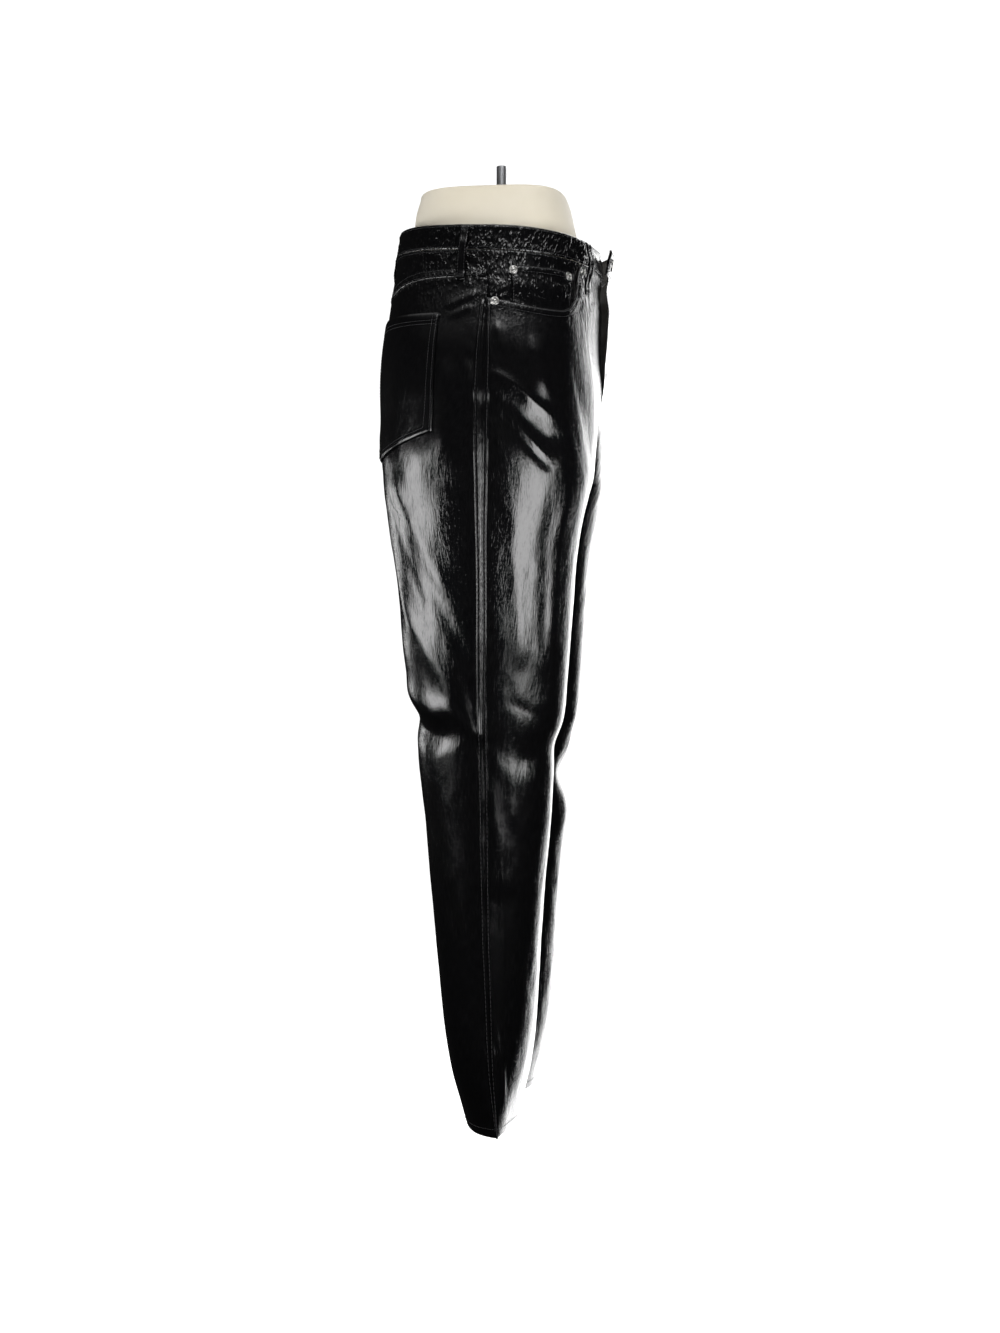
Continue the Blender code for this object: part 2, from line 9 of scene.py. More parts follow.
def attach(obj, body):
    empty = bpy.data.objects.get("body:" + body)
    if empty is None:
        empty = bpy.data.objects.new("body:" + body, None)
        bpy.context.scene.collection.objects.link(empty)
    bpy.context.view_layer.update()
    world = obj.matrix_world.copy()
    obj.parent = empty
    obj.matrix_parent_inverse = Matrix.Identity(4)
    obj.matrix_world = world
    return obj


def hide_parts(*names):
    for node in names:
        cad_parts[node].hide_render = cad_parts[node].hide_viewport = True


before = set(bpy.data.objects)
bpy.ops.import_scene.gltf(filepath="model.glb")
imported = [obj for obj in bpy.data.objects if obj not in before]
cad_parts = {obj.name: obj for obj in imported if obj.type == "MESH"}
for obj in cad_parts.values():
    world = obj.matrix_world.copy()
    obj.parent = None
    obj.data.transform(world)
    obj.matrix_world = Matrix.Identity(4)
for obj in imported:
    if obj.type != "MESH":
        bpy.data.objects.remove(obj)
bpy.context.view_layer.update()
mm = 0.001
right, left = -1, 1
print("frame loaded:", len(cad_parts), "nodes")

# camera
cameraLook = {
    "turned": 7,       # degrees from straight on to the wearer's right side
    "distance": 2.255,
    "height": -0.609,
    "lens": 50,
    "sensor": 36.007,
    "shift": -0.0011,
}


def makeCamera():
    look = cameraLook
    angle = math.radians(look["turned"])
    towards = Vector((math.cos(angle), math.sin(angle), 0))
    data = bpy.data.cameras.new("camera")
    data.lens = look["lens"]
    data.sensor_fit = "VERTICAL"
    data.sensor_width = data.sensor_height = look["sensor"]
    data.shift_x = look["shift"]
    camera = bpy.data.objects.new("camera", data)
    camera.location = -towards * look["distance"] + Vector((0, 0, look["height"]))
    camera.rotation_euler = towards.to_track_quat("-Z", "Y").to_euler()
    bpy.context.collection.objects.link(camera)
    bpy.context.scene.camera = camera


makeCamera()
print("camera placed")

# shape of the cloth
bodyShape = {
    "rodToWaist": 104,
    "bandHeight": 29.5,
    "bandProud": 0.7,
    "panelTop": 29.8,
    "riseStart": 165,
    "crotch": 278,
    "risePower": 2.3,
    "legStart": 120,
    "legEnd": 330,
    "lapTurn": -0.036,
    "lapRoot": 0.25,
    "lapClosed": 164,
    "lapEnd": 187,
    "quarter": 222,  # millimetres of cloth to one turn at the waist
    "bandWall": 2.3,
    "seamLap": 0.25,   # the panels run this far past their seams, so nothing shows between them
    "hemLevel": 1033.5,
}


def makeTable(names, *rows):
    return {"names": names.split(), "rows": np.array(rows, float)}


def readTable(table, name, at):
    # a smooth curve through one column, over the first one
    x, y = table["rows"][:, 0], table["rows"][:, table["names"].index(name)]
    slope = np.gradient(y, x)
    at = np.clip(at, x[0], x[-1])
    row = np.clip(np.searchsorted(x, at, side="right") - 1, 0, len(x) - 2)
    span = x[row + 1] - x[row]
    t = (at - x[row]) / span
    start = (1 + 2 * t) * (1 - t) ** 2 * y[row] + t * (1 - t) ** 2 * span * slope[row]
    return start + t * t * (3 - 2 * t) * y[row + 1] + t * t * (t - 1) * span * slope[row + 1]


# Half of the garment level by level: how far out the side seam and inseam lie, the foremost and
# rearmost y, the y of the two seams, and how square the section is.
levels = makeTable(
    "drop side inner front back seamY inseamY square",
    (0, 143, 0, -120.5, 121, 4, 0, 2.15),
    (28, 147.5, 0, -123.5, 124, 3, 0, 2.15),
    (50, 152, 0, -120.5, 126.5, 0, 0, 2.20),
    (70, 156.5, 0, -122, 129.5, -3, 0, 2.25),
    (100, 164, 0, -121.5, 133.5, -2, 0, 2.35),
    (140, 174, 0, -121.5, 137.5, -1, 2, 2.55),
    (165, 178.5, 0, -122.3, 138, -0.5, 3.5, 2.60),
    (190, 182.5, 0, -122.5, 137, 0, 5, 2.60),
    (215, 184.7, 0, -121.5, 135.5, 0, 7, 2.55),
    (240, 186.3, 0, -120.3, 135, 0, 8.5, 2.50),
    (262, 187.3, 0, -119, 133, 0, 10, 2.45),
    (285, 187.5, 0.5, -117.5, 129, 0, 10, 2.35),
    (310, 187.5, 6, -112.5, 125, 0, 9, 2.25),
    (360, 186, 16, -102.5, 115.5, 0, 8, 2.10),
    (428, 181.5, 26, -96, 107, 0, 6, 2.05),
    (485, 176, 34, -92, 102.5, 1, 4, 2.05),
    (525, 171.5, 39, -89, 96, 2, 3, 2.00),
    (565, 167.5, 43.5, -85, 88, 1.5, 2, 2.00),
    (595, 165, 46, -77.5, 85.5, 1, 2, 2.00),
    (625, 163.5, 48, -74, 83, 0.5, 1, 2.00),
    (680, 162.5, 50, -70.5, 76.5, 0, 0, 2.00),
    (740, 164.5, 48, -64.5, 71, -1, 0, 2.00),
    (809, 170, 43, -59.5, 64.5, -3, 0, 2.00),
    (880, 178, 35.5, -55.5, 57, -7, -1, 2.00),
    (936, 185.5, 28, -51, 50.5, -10, -2, 1.95),
    (972, 190.5, 22, -45.5, 43.5, -13, -3, 1.85),
    (1006, 196, 15.5, -37.5, 34, -17, -4, 1.65),
    (1036, 202, 9, -31.5, 26, -20.5, -4, 1.45),
)
# The large folds of the solids: a ridge (height above 0) or trough between two places on a leg.
mainFolds = (
    # side, turn, drop, toTurn, toDrop, width, height
    (right, 1.75, 508, 1.16, 564, 14, 3),
    (right, 1.75, 534, 1.20, 590, 14, -5.5),
    (right, 0.25, 588, 0.85, 612, 18, -3),
    (left, 1.72, 514, 1.18, 548, 15, 3),
    (left, 1.75, 542, 1.20, 574, 15, -5),
    (left, 0.15, 634, 0.85, 646, 24, -13),
    (left, 0.20, 688, 0.80, 698, 26, 2.5),
    (right, 0.98, 203, 0.72, 258, 16, -3),
    (left, 0.97, 210, 0.70, 262, 16, -3),
    (right, 0.90, 760, 0.88, 930, 14, -2.5),
    (left, 0.86, 740, 0.90, 905, 14, -2.5),
    (right, 1.08, 288, 1.40, 345, 18, -3),
    (left, 1.10, 292, 1.45, 350, 18, -3),
)
opening = makeTable(
    "turn drop",
    (0.375, 29.8), (0.385, 44), (0.405, 62), (0.430, 75), (0.462, 85.5),
    (0.512, 92.5), (0.580, 95), (0.720, 95.5), (0.850, 92.5), (1.000, 86),
)
yokeSeam = makeTable("turn drop", (1, 62), (1.16, 62), (1.43, 65.5), (1.6, 71.5), (1.75, 78), (2, 84))
hemEdge = makeTable("turn drop", (0, 1033), (0.5, 1030.5), (1, 1028.5), (1.5, 1034.5), (2, 1033))
lapEdge = makeTable(
    "drop lift",
    (0, 16.5), (6, 14.6), (12, 12), (20, 9.6), (28, 8.3), (60, 9.4),
    (100, 9.2), (130, 7.6), (150, 5.4), (165, 3), (178, 1), (187, 0),
)


def smoothStep(value):
    value = np.clip(value, 0, 1)
    return value * value * (3 - 2 * value)


def signedPower(value, power):
    return np.sign(value) * np.abs(value) ** power


def bell(value):
    return np.exp(-(value**2))


def waistTilt(y, drop):
    slope = -0.02 * y + np.where(y < 0, 0.00034, -0.00085) * y * y
    return slope * (1 - smoothStep((drop - 30) / 160))


def section(turn, drop):
    value = {name: readTable(levels, name, drop) for name in levels["names"][1:]}
    reach = np.where(turn <= 1, value["front"], value["back"])
    power = 2 / value["square"]
    ahead = np.clip(np.where(turn <= 1, turn, 2 - turn), 0, 1)
    legShare = smoothStep((drop - bodyShape["legStart"]) / (bodyShape["legEnd"] - bodyShape["legStart"]))
    peak = np.maximum(0.5 * legShare, 0.0001)
    across = signedPower(np.cos(ahead * math.pi), power)
    onBody = np.sin(ahead * math.pi / 2) ** power
    share = onBody + ((1 - across) / 2 - onBody) * legShare
    level = value["inseamY"] + (value["seamY"] - value["inseamY"]) * share
    rise = np.clip((drop - bodyShape["riseStart"]) / (bodyShape["crotch"] - bodyShape["riseStart"]), 0, 1)
    centre = (1 - rise ** bodyShape["risePower"]) ** (1 / bodyShape["risePower"])
    inside = centre + (1 - centre) * np.sin(np.clip(ahead / peak, 0, 1) * math.pi / 2) ** power
    outside = np.clip(np.sin((1 - ahead) / (1 - peak) * math.pi / 2), 0, 1) ** power
    fullness = np.where(ahead < peak, inside, outside)
    x = value["inner"] + (value["side"] - value["inner"]) * share
    return x, level + (reach - level) * fullness


def barePoint(side, turn, drop):
    onLeg = drop > bodyShape["crotch"]
    under, over = turn < 0, turn > 2
    x, y = section(np.where(onLeg, turn % 2, np.where(over, 4 - turn, np.abs(turn))), drop)
    z = -(bodyShape["rodToWaist"] + drop + waistTilt(y, drop))
    if side == left:
        lift = np.where(drop < bodyShape["lapEnd"], readTable(lapEdge, "lift", drop), 0)
        root, edge = bodyShape["lapRoot"], bodyShape["lapTurn"]
        y = y - lift * smoothStep((root - turn) / (root - edge))
    x = np.where((under | over) & ~onLeg, -x, x)
    return np.stack(np.broadcast_arrays(x, y, z), axis=-1)


def outward(side, turn, drop):
    stepTurn, stepDrop = 0.004, 1
    roundIt = barePoint(side, turn + stepTurn, drop) - barePoint(side, turn - stepTurn, drop)
    downIt = barePoint(side, turn, drop + stepDrop) - barePoint(side, turn, drop - stepDrop)
    normal = np.cross(downIt, roundIt)
    return normal / np.linalg.norm(normal, axis=-1, keepdims=True)


def clothOut(side, turn, drop):
    return outward(side, turn, drop) * (side, 1, 1)


def foldScale(drop):
    depth = readTable(levels, "back", drop) - readTable(levels, "front", drop)
    return 0.42 * (readTable(levels, "side", drop) - readTable(levels, "inner", drop) + depth)


def turnLength(drop):
    # millimetres of cloth in one turn
    side, inner = readTable(levels, "side", drop), readTable(levels, "inner", drop)
    depth = readTable(levels, "back", drop) - readTable(levels, "front", drop)
    legShare = smoothStep((drop - 150) / 160)
    return 0.41 * (2 * side + depth) * (1 - legShare) + 0.80 * (side - inner + depth) * legShare


def foldHeights(rows, scaleAt, side, turn, drop, ending=30):
    total = np.zeros(np.broadcast(turn, drop).shape)
    for foldSide, turnA, dropA, turnB, dropB, width, height in rows:
        if foldSide not in (side, 0):
            continue
        scale = scaleAt((dropA + dropB) / 2)
        run = np.array([(turnB - turnA) * scale, dropB - dropA])
        length = np.linalg.norm(run)
        offTurn, offDrop = np.broadcast_arrays((turn - turnA) * scale, drop - dropA)
        along = (offTurn * run[0] + offDrop * run[1]) / length
        aside = (offTurn * run[1] - offDrop * run[0]) / length
        fade = min(ending, length / 2)
        ends = smoothStep(along / fade + 0.5) * smoothStep((length - along) / fade + 0.5)
        total = total + height * bell(aside / width) * ends
    return total


def ripple(a, b, cellA, cellB, seed, lean=0):
    # smooth noise from -1 to 1, with cells of one size round and another down
    size = 96
    lattice = np.random.default_rng(seed).uniform(-1, 1, (size, size))
    cosine, sine = math.cos(math.radians(lean)), math.sin(math.radians(lean))
    a, b = (a * cosine + b * sine) / cellA + 40.3, (b * cosine - a * sine) / cellB + 40.7
    i, j = np.floor(a).astype(int), np.floor(b).astype(int)
    s, t = a - i, b - j
    s, t = s**3 * (s * (6 * s - 15) + 10), t**3 * (t * (6 * t - 15) + 10)
    near = lattice[i % size, j % size] * (1 - s) + lattice[(i + 1) % size, j % size] * s
    far = lattice[i % size, (j + 1) % size] * (1 - s) + lattice[(i + 1) % size, (j + 1) % size] * s
    return near * (1 - t) + far * t


# Creases listed one by one, 0 for both legs. Widths and heights are in millimetres.
creases = (
    # side, turn, drop, toTurn, toDrop, width, height
    (0, 1.30, 300, 1.12, 420, 9, 1.6),
    (0, 1.46, 330, 1.30, 470, 11, 1.8),
    (0, 1.38, 310, 1.22, 440, 8, -1.4),
    (0, 1.34, 430, 1.10, 545, 10, 1.5),
    (0, 1.20, 400, 1.05, 500, 7, -1.2),
    (right, 1.10, 520, 1.04, 600, 6, -1.6),
    (right, 1.16, 548, 1.02, 585, 6, 1.8),
    (right, 1.04, 545, 1.01, 590, 4, 1.8),
    (0, 0.90, 330, 0.84, 500, 9, 1.4),
    (0, 0.76, 320, 0.74, 480, 9, -1.2),
    (0, 0.68, 300, 0.70, 470, 10, 1.2),
    (0, 0.95, 210, 0.80, 262, 7, 1.8),
    (0, 0.94, 225, 0.78, 280, 6, -1.4),
    (0, 0.84, 140, 0.82, 215, 7, 1.2),
    (0, 0.62, 575, 0.90, 545, 6, -0.5),
    (0, 0.96, 640, 0.93, 720, 6, 1),
    (0, 0.86, 600, 0.84, 690, 8, 1),
    (0, 0.92, 915, 0.86, 985, 5, 2),
    (0, 0.75, 140, 0.72, 195, 11, 2.8),
    (0, 0.96, 176, 0.72, 222, 6, 1.5),
    (0, 0.955, 205, 0.962, 262, 4, 1.7),
    (0, 1.035, 166, 1.03, 200, 4, 1.7),
    (0, 0.955, 118, 0.93, 150, 4, 1.3),
    (0, 1.13, 165, 1.10, 260, 9, 1.8),
    (0, 1.17, 96, 1.04, 82, 5, 1.4),
    (0, 1.14, 108, 1.05, 97, 4, 1),
    (0, 0.90, 700, 0.88, 880, 3, 0.7),
    (0, 1.04, 925, 1.06, 1010, 5, 1.4),
    (0, 1.20, 760, 1.16, 900, 9, -1),
)
clothFeel = {
    "drape": 0.42,     # long soft undulations down the legs
    "crossing": 0.20,
    "crinkle": 0.34,   # small crushed wrinkles round the waist and hips
    "seamRidge": 1.2,
    "pucker": 0.55,
}


def crushed(drop):
    # 1 round the waist, fading down the hips, and a little where the knees break
    hips = 1 - smoothStep((drop - 30) / 110)
    knee = 0.12 * bell((drop - 575) / 40)
    return np.clip(hips + knee, 0, 1)


def surfaceHeight(side, turn, drop):
    feel, seed = clothFeel, (11 if side == right else 57)
    offSeam = (turn - 1) * turnLength(drop)
    onLeg = smoothStep((drop - 90) / 200)
    height = feel["drape"] * onLeg * ripple(offSeam, drop, 24, 190, seed, 4)
    height = height + feel["crossing"] * onLeg * ripple(offSeam, drop, 11, 46, seed + 1, -24)
    height = height + feel["crossing"] * onLeg * ripple(offSeam, drop, 12, 60, seed + 2, 28)
    waist = crushed(drop)
    height = height + feel["crinkle"] * waist * ripple(offSeam, drop, 5.5, 16, seed + 3, 62)
    height = height + 0.7 * feel["crinkle"] * waist * ripple(offSeam, drop, 4.5, 13, seed + 4, -55)
    away = np.abs(offSeam)
    strength = 0.88 + 0.12 * ripple(offSeam * 0.1, drop, 9, 26, seed + 5)
    welt = smoothStep((away - 1) / 0.7) * (1 - smoothStep((away - 3.9) / 0.8))
    seam = feel["seamRidge"] * strength * welt - 0.5 * bell(away / 0.9)
    broken = 0.25 + bell((drop - 240) / 90) + bell((drop - 590) / 30) + bell((drop - 960) / 60)
    pucker = feel["pucker"] * broken * bell((away - 7) / 6) * ripple(offSeam, drop, 9, 13, seed + 6, 20)
    return height + (seam + pucker) * smoothStep((drop - 86) / 12)


def cloth(side, turn, drop, out=0):
    # world points on the cloth, moved out from its outer face by out millimetres
    turn, drop, out = np.broadcast_arrays(*(np.asarray(v, float) for v in (turn, drop, out)))
    height = out + foldHeights(mainFolds, foldScale, side, turn, drop)
    height = height + foldHeights(creases, turnLength, side, turn, drop) + surfaceHeight(side, turn, drop)
    return (barePoint(side, turn, drop) + height[..., None] * outward(side, turn, drop)) * (side, 1, 1)


def trimToSeams(points, side, drops, isFront):
    gap = -bodyShape["seamLap"]
    lateral = np.maximum(side * points[..., 0], gap)
    value = {name: readTable(levels, name, drops) for name in ("side", "inner", "seamY", "inseamY")}
    share = (lateral - value["inner"]) / (value["side"] - value["inner"])
    seamY = value["inseamY"] + (value["seamY"] - value["inseamY"]) * np.clip(share, 0, 1)
    y = points[..., 1]
    y = np.minimum(y, seamY - gap) if isFront else np.maximum(y, seamY + gap)
    return np.stack([side * lateral, y, points[..., 2]], axis=-1)


# materials
def setInputs(node, values):
    for key, value in values.items():
        node.inputs[key].default_value = value


def newMaterial(name, values):
    material = bpy.data.materials.new(name)
    material.use_nodes = True
    shader = material.node_tree.nodes["Principled BSDF"]
    setInputs(shader, values)
    return material, shader


def addNode(material, kind, **values):
    node = material.node_tree.nodes.new(kind)
    for key, value in values.items():
        if key in node.inputs:
            node.inputs[key].default_value = value
        else:
            setattr(node, key, value)
    return node


def link(material, start, end):
    material.node_tree.links.new(start, end)


def stretchedNoise(material, source, stretch, lean, scale, detail=3, rough=0.5):
    mapping = addNode(material, "ShaderNodeMapping", Scale=stretch, Rotation=(0, 0, math.radians(lean)))
    noise = addNode(material, "ShaderNodeTexNoise", Scale=scale, Detail=detail, Roughness=rough)
    link(material, source, mapping.inputs["Vector"])
    link(material, mapping.outputs["Vector"], noise.inputs["Vector"])
    return noise.outputs["Fac"]


def mixMath(material, operation, a, b):
    node = addNode(material, "ShaderNodeMath", operation=operation)
    for slot, value in zip(node.inputs, (a, b)):
        if isinstance(value, (int, float)):
            slot.default_value = value
        else:
            link(material, value, slot)
    return node.outputs[0]


def addBump(material, shader, height, distance, strength=1, sockets=("Normal",), before=None):
    bump = addNode(material, "ShaderNodeBump", Strength=strength, Distance=distance)
    link(material, height, bump.inputs["Height"])
    if before is not None:
        link(material, before, bump.inputs["Normal"])
    for name in sockets:
        link(material, bump.outputs["Normal"], shader.inputs[name])
    return bump.outputs["Normal"]


def colourBetween(material, shader, source, low, high, colourA, colourB):
    ramp = addNode(material, "ShaderNodeValToRGB")
    first, second = ramp.color_ramp.elements
    first.position, second.position = low, high
    first.color, second.color = colourA, colourB
    link(material, source, ramp.inputs["Fac"])
    link(material, ramp.outputs["Color"], shader.inputs["Base Color"])


def roughBetween(material, shader, source, low, high):
    rough = addNode(material, "ShaderNodeMapRange")
    setInputs(rough, {"To Min": low, "To Max": high})
    link(material, source, rough.inputs["Value"])
    link(material, rough.outputs["Result"], shader.inputs["Roughness"])


patentLook = {
    "base": (0.0018, 0.0018, 0.0021, 1),
    "worn": (0.006, 0.006, 0.0065, 1),
    "roughness": (0.26, 0.42),
    "baseGloss": 0.04,
    "coatRoughness": 0.045,
    "grainDepth": 0.00024,
    "wrinkleDepth": 0.0007,
    "crinkleDepth": 0.0006,
}


def makePatent(name):
    look = patentLook
    material, shader = newMaterial(name, {
        "IOR": 1.5, "Coat Weight": 1, "Coat Roughness": look["coatRoughness"], "Coat IOR": 1.6,
        "Specular IOR Level": look["baseGloss"],
    })
    uv = addNode(material, "ShaderNodeUVMap", uv_map="cloth").outputs["UV"]
    fibre = stretchedNoise(material, uv, (1, 0.09, 1), 3, 900, 4, 0.6)
    fibreB = stretchedNoise(material, uv, (1, 0.12, 1), -27, 700, 3, 0.6)
    grain = mixMath(material, "ADD", fibre, mixMath(material, "MULTIPLY", fibreB, 0.7))
    wrinkle = stretchedNoise(material, uv, (1, 0.2, 1), 14, 110, 4, 0.55)
    first = addBump(material, shader, wrinkle, look["wrinkleDepth"], 0.8, ("Normal", "Coat Normal"))
    weight = addNode(material, "ShaderNodeAttribute", attribute_name="crushed").outputs["Fac"]
    fleckA = stretchedNoise(material, uv, (1, 0.42, 1), 62, 135, 2, 0.5)
    fleckB = stretchedNoise(material, uv, (1, 0.42, 1), -48, 115, 2, 0.5)
    apart = mixMath(material, "ABSOLUTE", mixMath(material, "SUBTRACT", fleckA, fleckB), 0)
    ridged = mixMath(material, "POWER", mixMath(material, "SUBTRACT", 1, apart), 14)
    crinkle = mixMath(material, "MULTIPLY", ridged, weight)
    second = addBump(material, shader, crinkle, look["crinkleDepth"], 1, (), first)
    addBump(material, shader, grain, look["grainDepth"], 0.9, ("Normal", "Coat Normal"), second)
    smudge = stretchedNoise(material, uv, (1, 0.35, 1), 20, 24, 5, 0.6)
    roughBetween(material, shader, smudge, *look["roughness"])
    colourBetween(material, shader, fibre, 0.45, 0.8, look["base"], look["worn"])
    return material


def makeBacking():
    # the knitted back of the coated cloth, seen inside the waist and the hems
    material, shader = newMaterial("blackKnitBacking", {"Sheen Weight": 0.25, "Roughness": 0.9})
    uv = addNode(material, "ShaderNodeUVMap", uv_map="cloth").outputs["UV"]
    rib = addNode(material, "ShaderNodeTexWave", Scale=260, Distortion=1.5)
    rib.inputs["Detail Scale"].default_value = 40
    link(material, uv, rib.inputs["Vector"])
    fuzz = stretchedNoise(material, uv, (1, 1, 1), 0, 1500, 3)
    mixed = mixMath(material, "ADD", rib.outputs["Fac"], fuzz)
    addBump(material, shader, mixed, 0.0002, 0.7)
    colourBetween(material, shader, mixed, 0.3, 1.4, (0.010, 0.010, 0.011, 1), (0.034, 0.034, 0.036, 1))
    return material


def makeThread():
    material, shader = newMaterial("blackThread", {"Roughness": 0.38})
    place = addNode(material, "ShaderNodeTexCoord").outputs["Object"]
    strand = stretchedNoise(material, place, (1, 1, 1), 0, 3200, 2)
    addBump(material, shader, strand, 0.0001, 0.8)
    colourBetween(material, shader, strand, 0.3, 0.7, (0.012, 0.012, 0.013, 1), (0.040, 0.040, 0.042, 1))
    return material


def makeMetal(name, bright, dull, roughLow, roughHigh, scale, stretch=(1, 1, 1)):
    material, shader = newMaterial(name, {"Metallic": 1})
    place = addNode(material, "ShaderNodeTexCoord").outputs["Object"]
    mark = stretchedNoise(material, place, stretch, 0, scale, 4, 0.6)
    roughBetween(material, shader, mark, roughLow, roughHigh)
    colourBetween(material, shader, mark, 0.35, 0.75, bright, dull)
    addBump(material, shader, mark, 0.00003, 0.5)
    return material


def makeJersey():
    # smooth cream cotton jersey, drawn tight over the form
    sheen = {"Sheen Weight": 0.35, "Sheen Roughness": 0.45, "Roughness": 0.82}
    material, shader = newMaterial("creamJersey", sheen)
    place = addNode(material, "ShaderNodeTexCoord").outputs["Object"]
    knit = addNode(material, "ShaderNodeTexWave", Scale=330, Distortion=2)
    knit.bands_direction = "Z"
    knit.inputs["Detail Scale"].default_value = 60
    link(material, place, knit.inputs["Vector"])
    fuzz = stretchedNoise(material, place, (1, 1, 1), 0, 1100, 4)
    mixed = mixMath(material, "ADD", knit.outputs["Fac"], fuzz)
    addBump(material, shader, mixed, 0.00016, 0.6)
    cloud = stretchedNoise(material, place, (1, 1, 1.5), 0, 9, 4)
    colourBetween(material, shader, cloud, 0.3, 0.75, (0.86, 0.80, 0.67, 1), (0.80, 0.73, 0.58, 1))
    return material


patent = makePatent("blackPatent")
backing = makeBacking()
thread = makeThread()
silver = makeMetal("silverMetal", (0.66, 0.65, 0.63, 1), (0.42, 0.41, 0.40, 1), 0.22, 0.38, 900)
along = (1, 1, 0.02)
brushed = makeMetal("brushedSteel", (0.62, 0.63, 0.65, 1), (0.30, 0.31, 0.33, 1), 0.42, 0.6, 420, along)
jersey = makeJersey()
print("materials made")


# making pieces
def addPiece(name, mesh, nodes, slot, *materials):
    mesh.name = name
    for material in materials:
        mesh.materials.append(material)
    piece = bpy.data.objects.new(name, mesh)
    bpy.context.collection.objects.link(piece)
    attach(piece, "root")
    if nodes:
        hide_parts(*nodes)
    return piece


def layCloth(name, points, outwards, wall, nodes, weights):
    # a fine grid whose points are moved onto the cloth, then given its thickness inwards
    rows, columns = points.shape[:2]
    shape = bmesh.new()
    bmesh.ops.create_grid(shape, x_segments=columns - 1, y_segments=rows - 1, size=0.5)
    mesh = bpy.data.meshes.new(name)
    shape.to_mesh(mesh)
    shape.free()
    start = np.empty(len(mesh.vertices) * 3, np.float32)
    mesh.vertices.foreach_get("co", start)
    start = start.reshape(-1, 3)
    column = np.rint((start[:, 0] + 0.5) * (columns - 1)).astype(int)
    row = np.rint((0.5 - start[:, 1]) * (rows - 1)).astype(int)
    mesh.vertices.foreach_set("co", (points[row, column] * mm).astype(np.float32).ravel())
    across = np.linalg.norm(np.diff(points, axis=1), axis=-1)
    across = np.concatenate([np.zeros((rows, 1)), np.cumsum(across, axis=1)], axis=1)
    down = np.linalg.norm(np.diff(points, axis=0), axis=-1).mean(axis=1)
    down = np.concatenate([[0], np.cumsum(down)])
    across = across - across[:, columns // 2][:, None]
    layer = mesh.uv_layers.get("cloth") or mesh.uv_layers.new(name="cloth")
    corner = np.empty(len(mesh.loops), np.int32)
    mesh.loops.foreach_get("vertex_index", corner)
    places = np.stack([across[row, column] * mm, -down[row] * mm], axis=-1)[corner]
    layer.uv.foreach_set("vector", places.astype(np.float32).ravel())
    for other in [o for o in mesh.uv_layers if o.name != "cloth"]:
        mesh.uv_layers.remove(other)
    mark = mesh.attributes.new("crushed", "FLOAT", "POINT")
    mark.data.foreach_set("value", weights[row, column].astype(np.float32))
    mesh.update()
    normals = np.empty(len(mesh.vertices) * 3, np.float32)
    mesh.vertices.foreach_get("normal", normals)
    if (normals.reshape(-1, 3) * outwards[row, column]).sum() < 0:
        mesh.flip_normals()
    mesh.shade_smooth()
    piece = addPiece(name, mesh, nodes, "patent_cloth", patent, backing)
    solid = piece.modifiers.new("thickness", "SOLIDIFY")
    solid.thickness = wall * mm
    solid.offset = -1
    solid.material_offset = 1
    solid.use_rim = True


def layOn(name, node, side, turns, drops, points, wall, weights=None):
    outs = clothOut(side, turns, drops)
    layCloth(name, points, outs, wall, [node], crushed(drops) if weights is None else weights)


def spread(places, count):
    # column or row positions: the places are (share of the count, value)
    at, value = zip(*places)
    return np.interp(np.linspace(0, 1, count), at, value)


panelFit = {
    "wall": 1.1,
    "hemDepth": 11,
    "frontColumns": 76,
    "backColumns": 68,
}
# how far the columns beside the side seam lie from it, in millimetres
seamSteps = np.array([
    -0.25, 0.5, 0.9, 1.15, 1.35, 1.55, 1.8, 2.7, 3.6, 3.9, 4.15, 4.4, 4.65, 4.9, 6, 8, 10.5,
])


def legLevels():
    # rows down a leg, closer together at the waist, hips and hem
    top, end = bodyShape["panelTop"], bodyShape["hemLevel"]
    return np.concatenate([np.linspace(top, 260, 112), np.linspace(263, 990, 230), np.linspace(993, end, 22)])


def stretchTo(rowLevels, top, bottom, settle=215):
    # the rows follow the panel's upper edge above the settled level, and the hem at the foot
    start, end = rowLevels[0], rowLevels[-1]
    nearTop = top + (rowLevels - start) * (settle - top) / (settle - start)
    moved = np.where(rowLevels < settle, nearTop, rowLevels)
    return moved + (bottom - end) * smoothStep((rowLevels - 900) / (end - 900))


def frontTop(turn):
    return np.where(turn < 0.375, bodyShape["panelTop"], readTable(opening, "drop", turn))


def frontColumns(side, drop):
    count = panelFit["frontColumns"]
    edge = 0
    if side == left:
        closing = smoothStep((drop - 140) / (bodyShape["lapClosed"] - 140))
        edge = bodyShape["lapTurn"] * (1 - closing)
    beside = seamSteps / turnLength(drop)
    last = 1 - beside[-1] * 1.25
    hips = [
        (0, edge), (0.05, edge + 0.012), (0.33, 0.345), (0.39, 0.374), (0.53, 0.405), (0.64, 0.462),
        (0.74, 0.58), (1, last),
    ]
    even = [(0, edge), (0.06, edge + 0.015), (1, last)]
    hips, even = spread(hips, count), spread(even, count)
    return np.concatenate([hips + (even - hips) * smoothStep((drop - 100) / 150), 1 - beside[::-1]])


def backColumns(drop):
    beside = seamSteps / turnLength(drop)
    rest = [(0, 1 + beside[-1] * 1.25), (0.95, 1.985), (1, 2)]
    return np.concatenate([1 + beside, spread(rest, panelFit["backColumns"])])


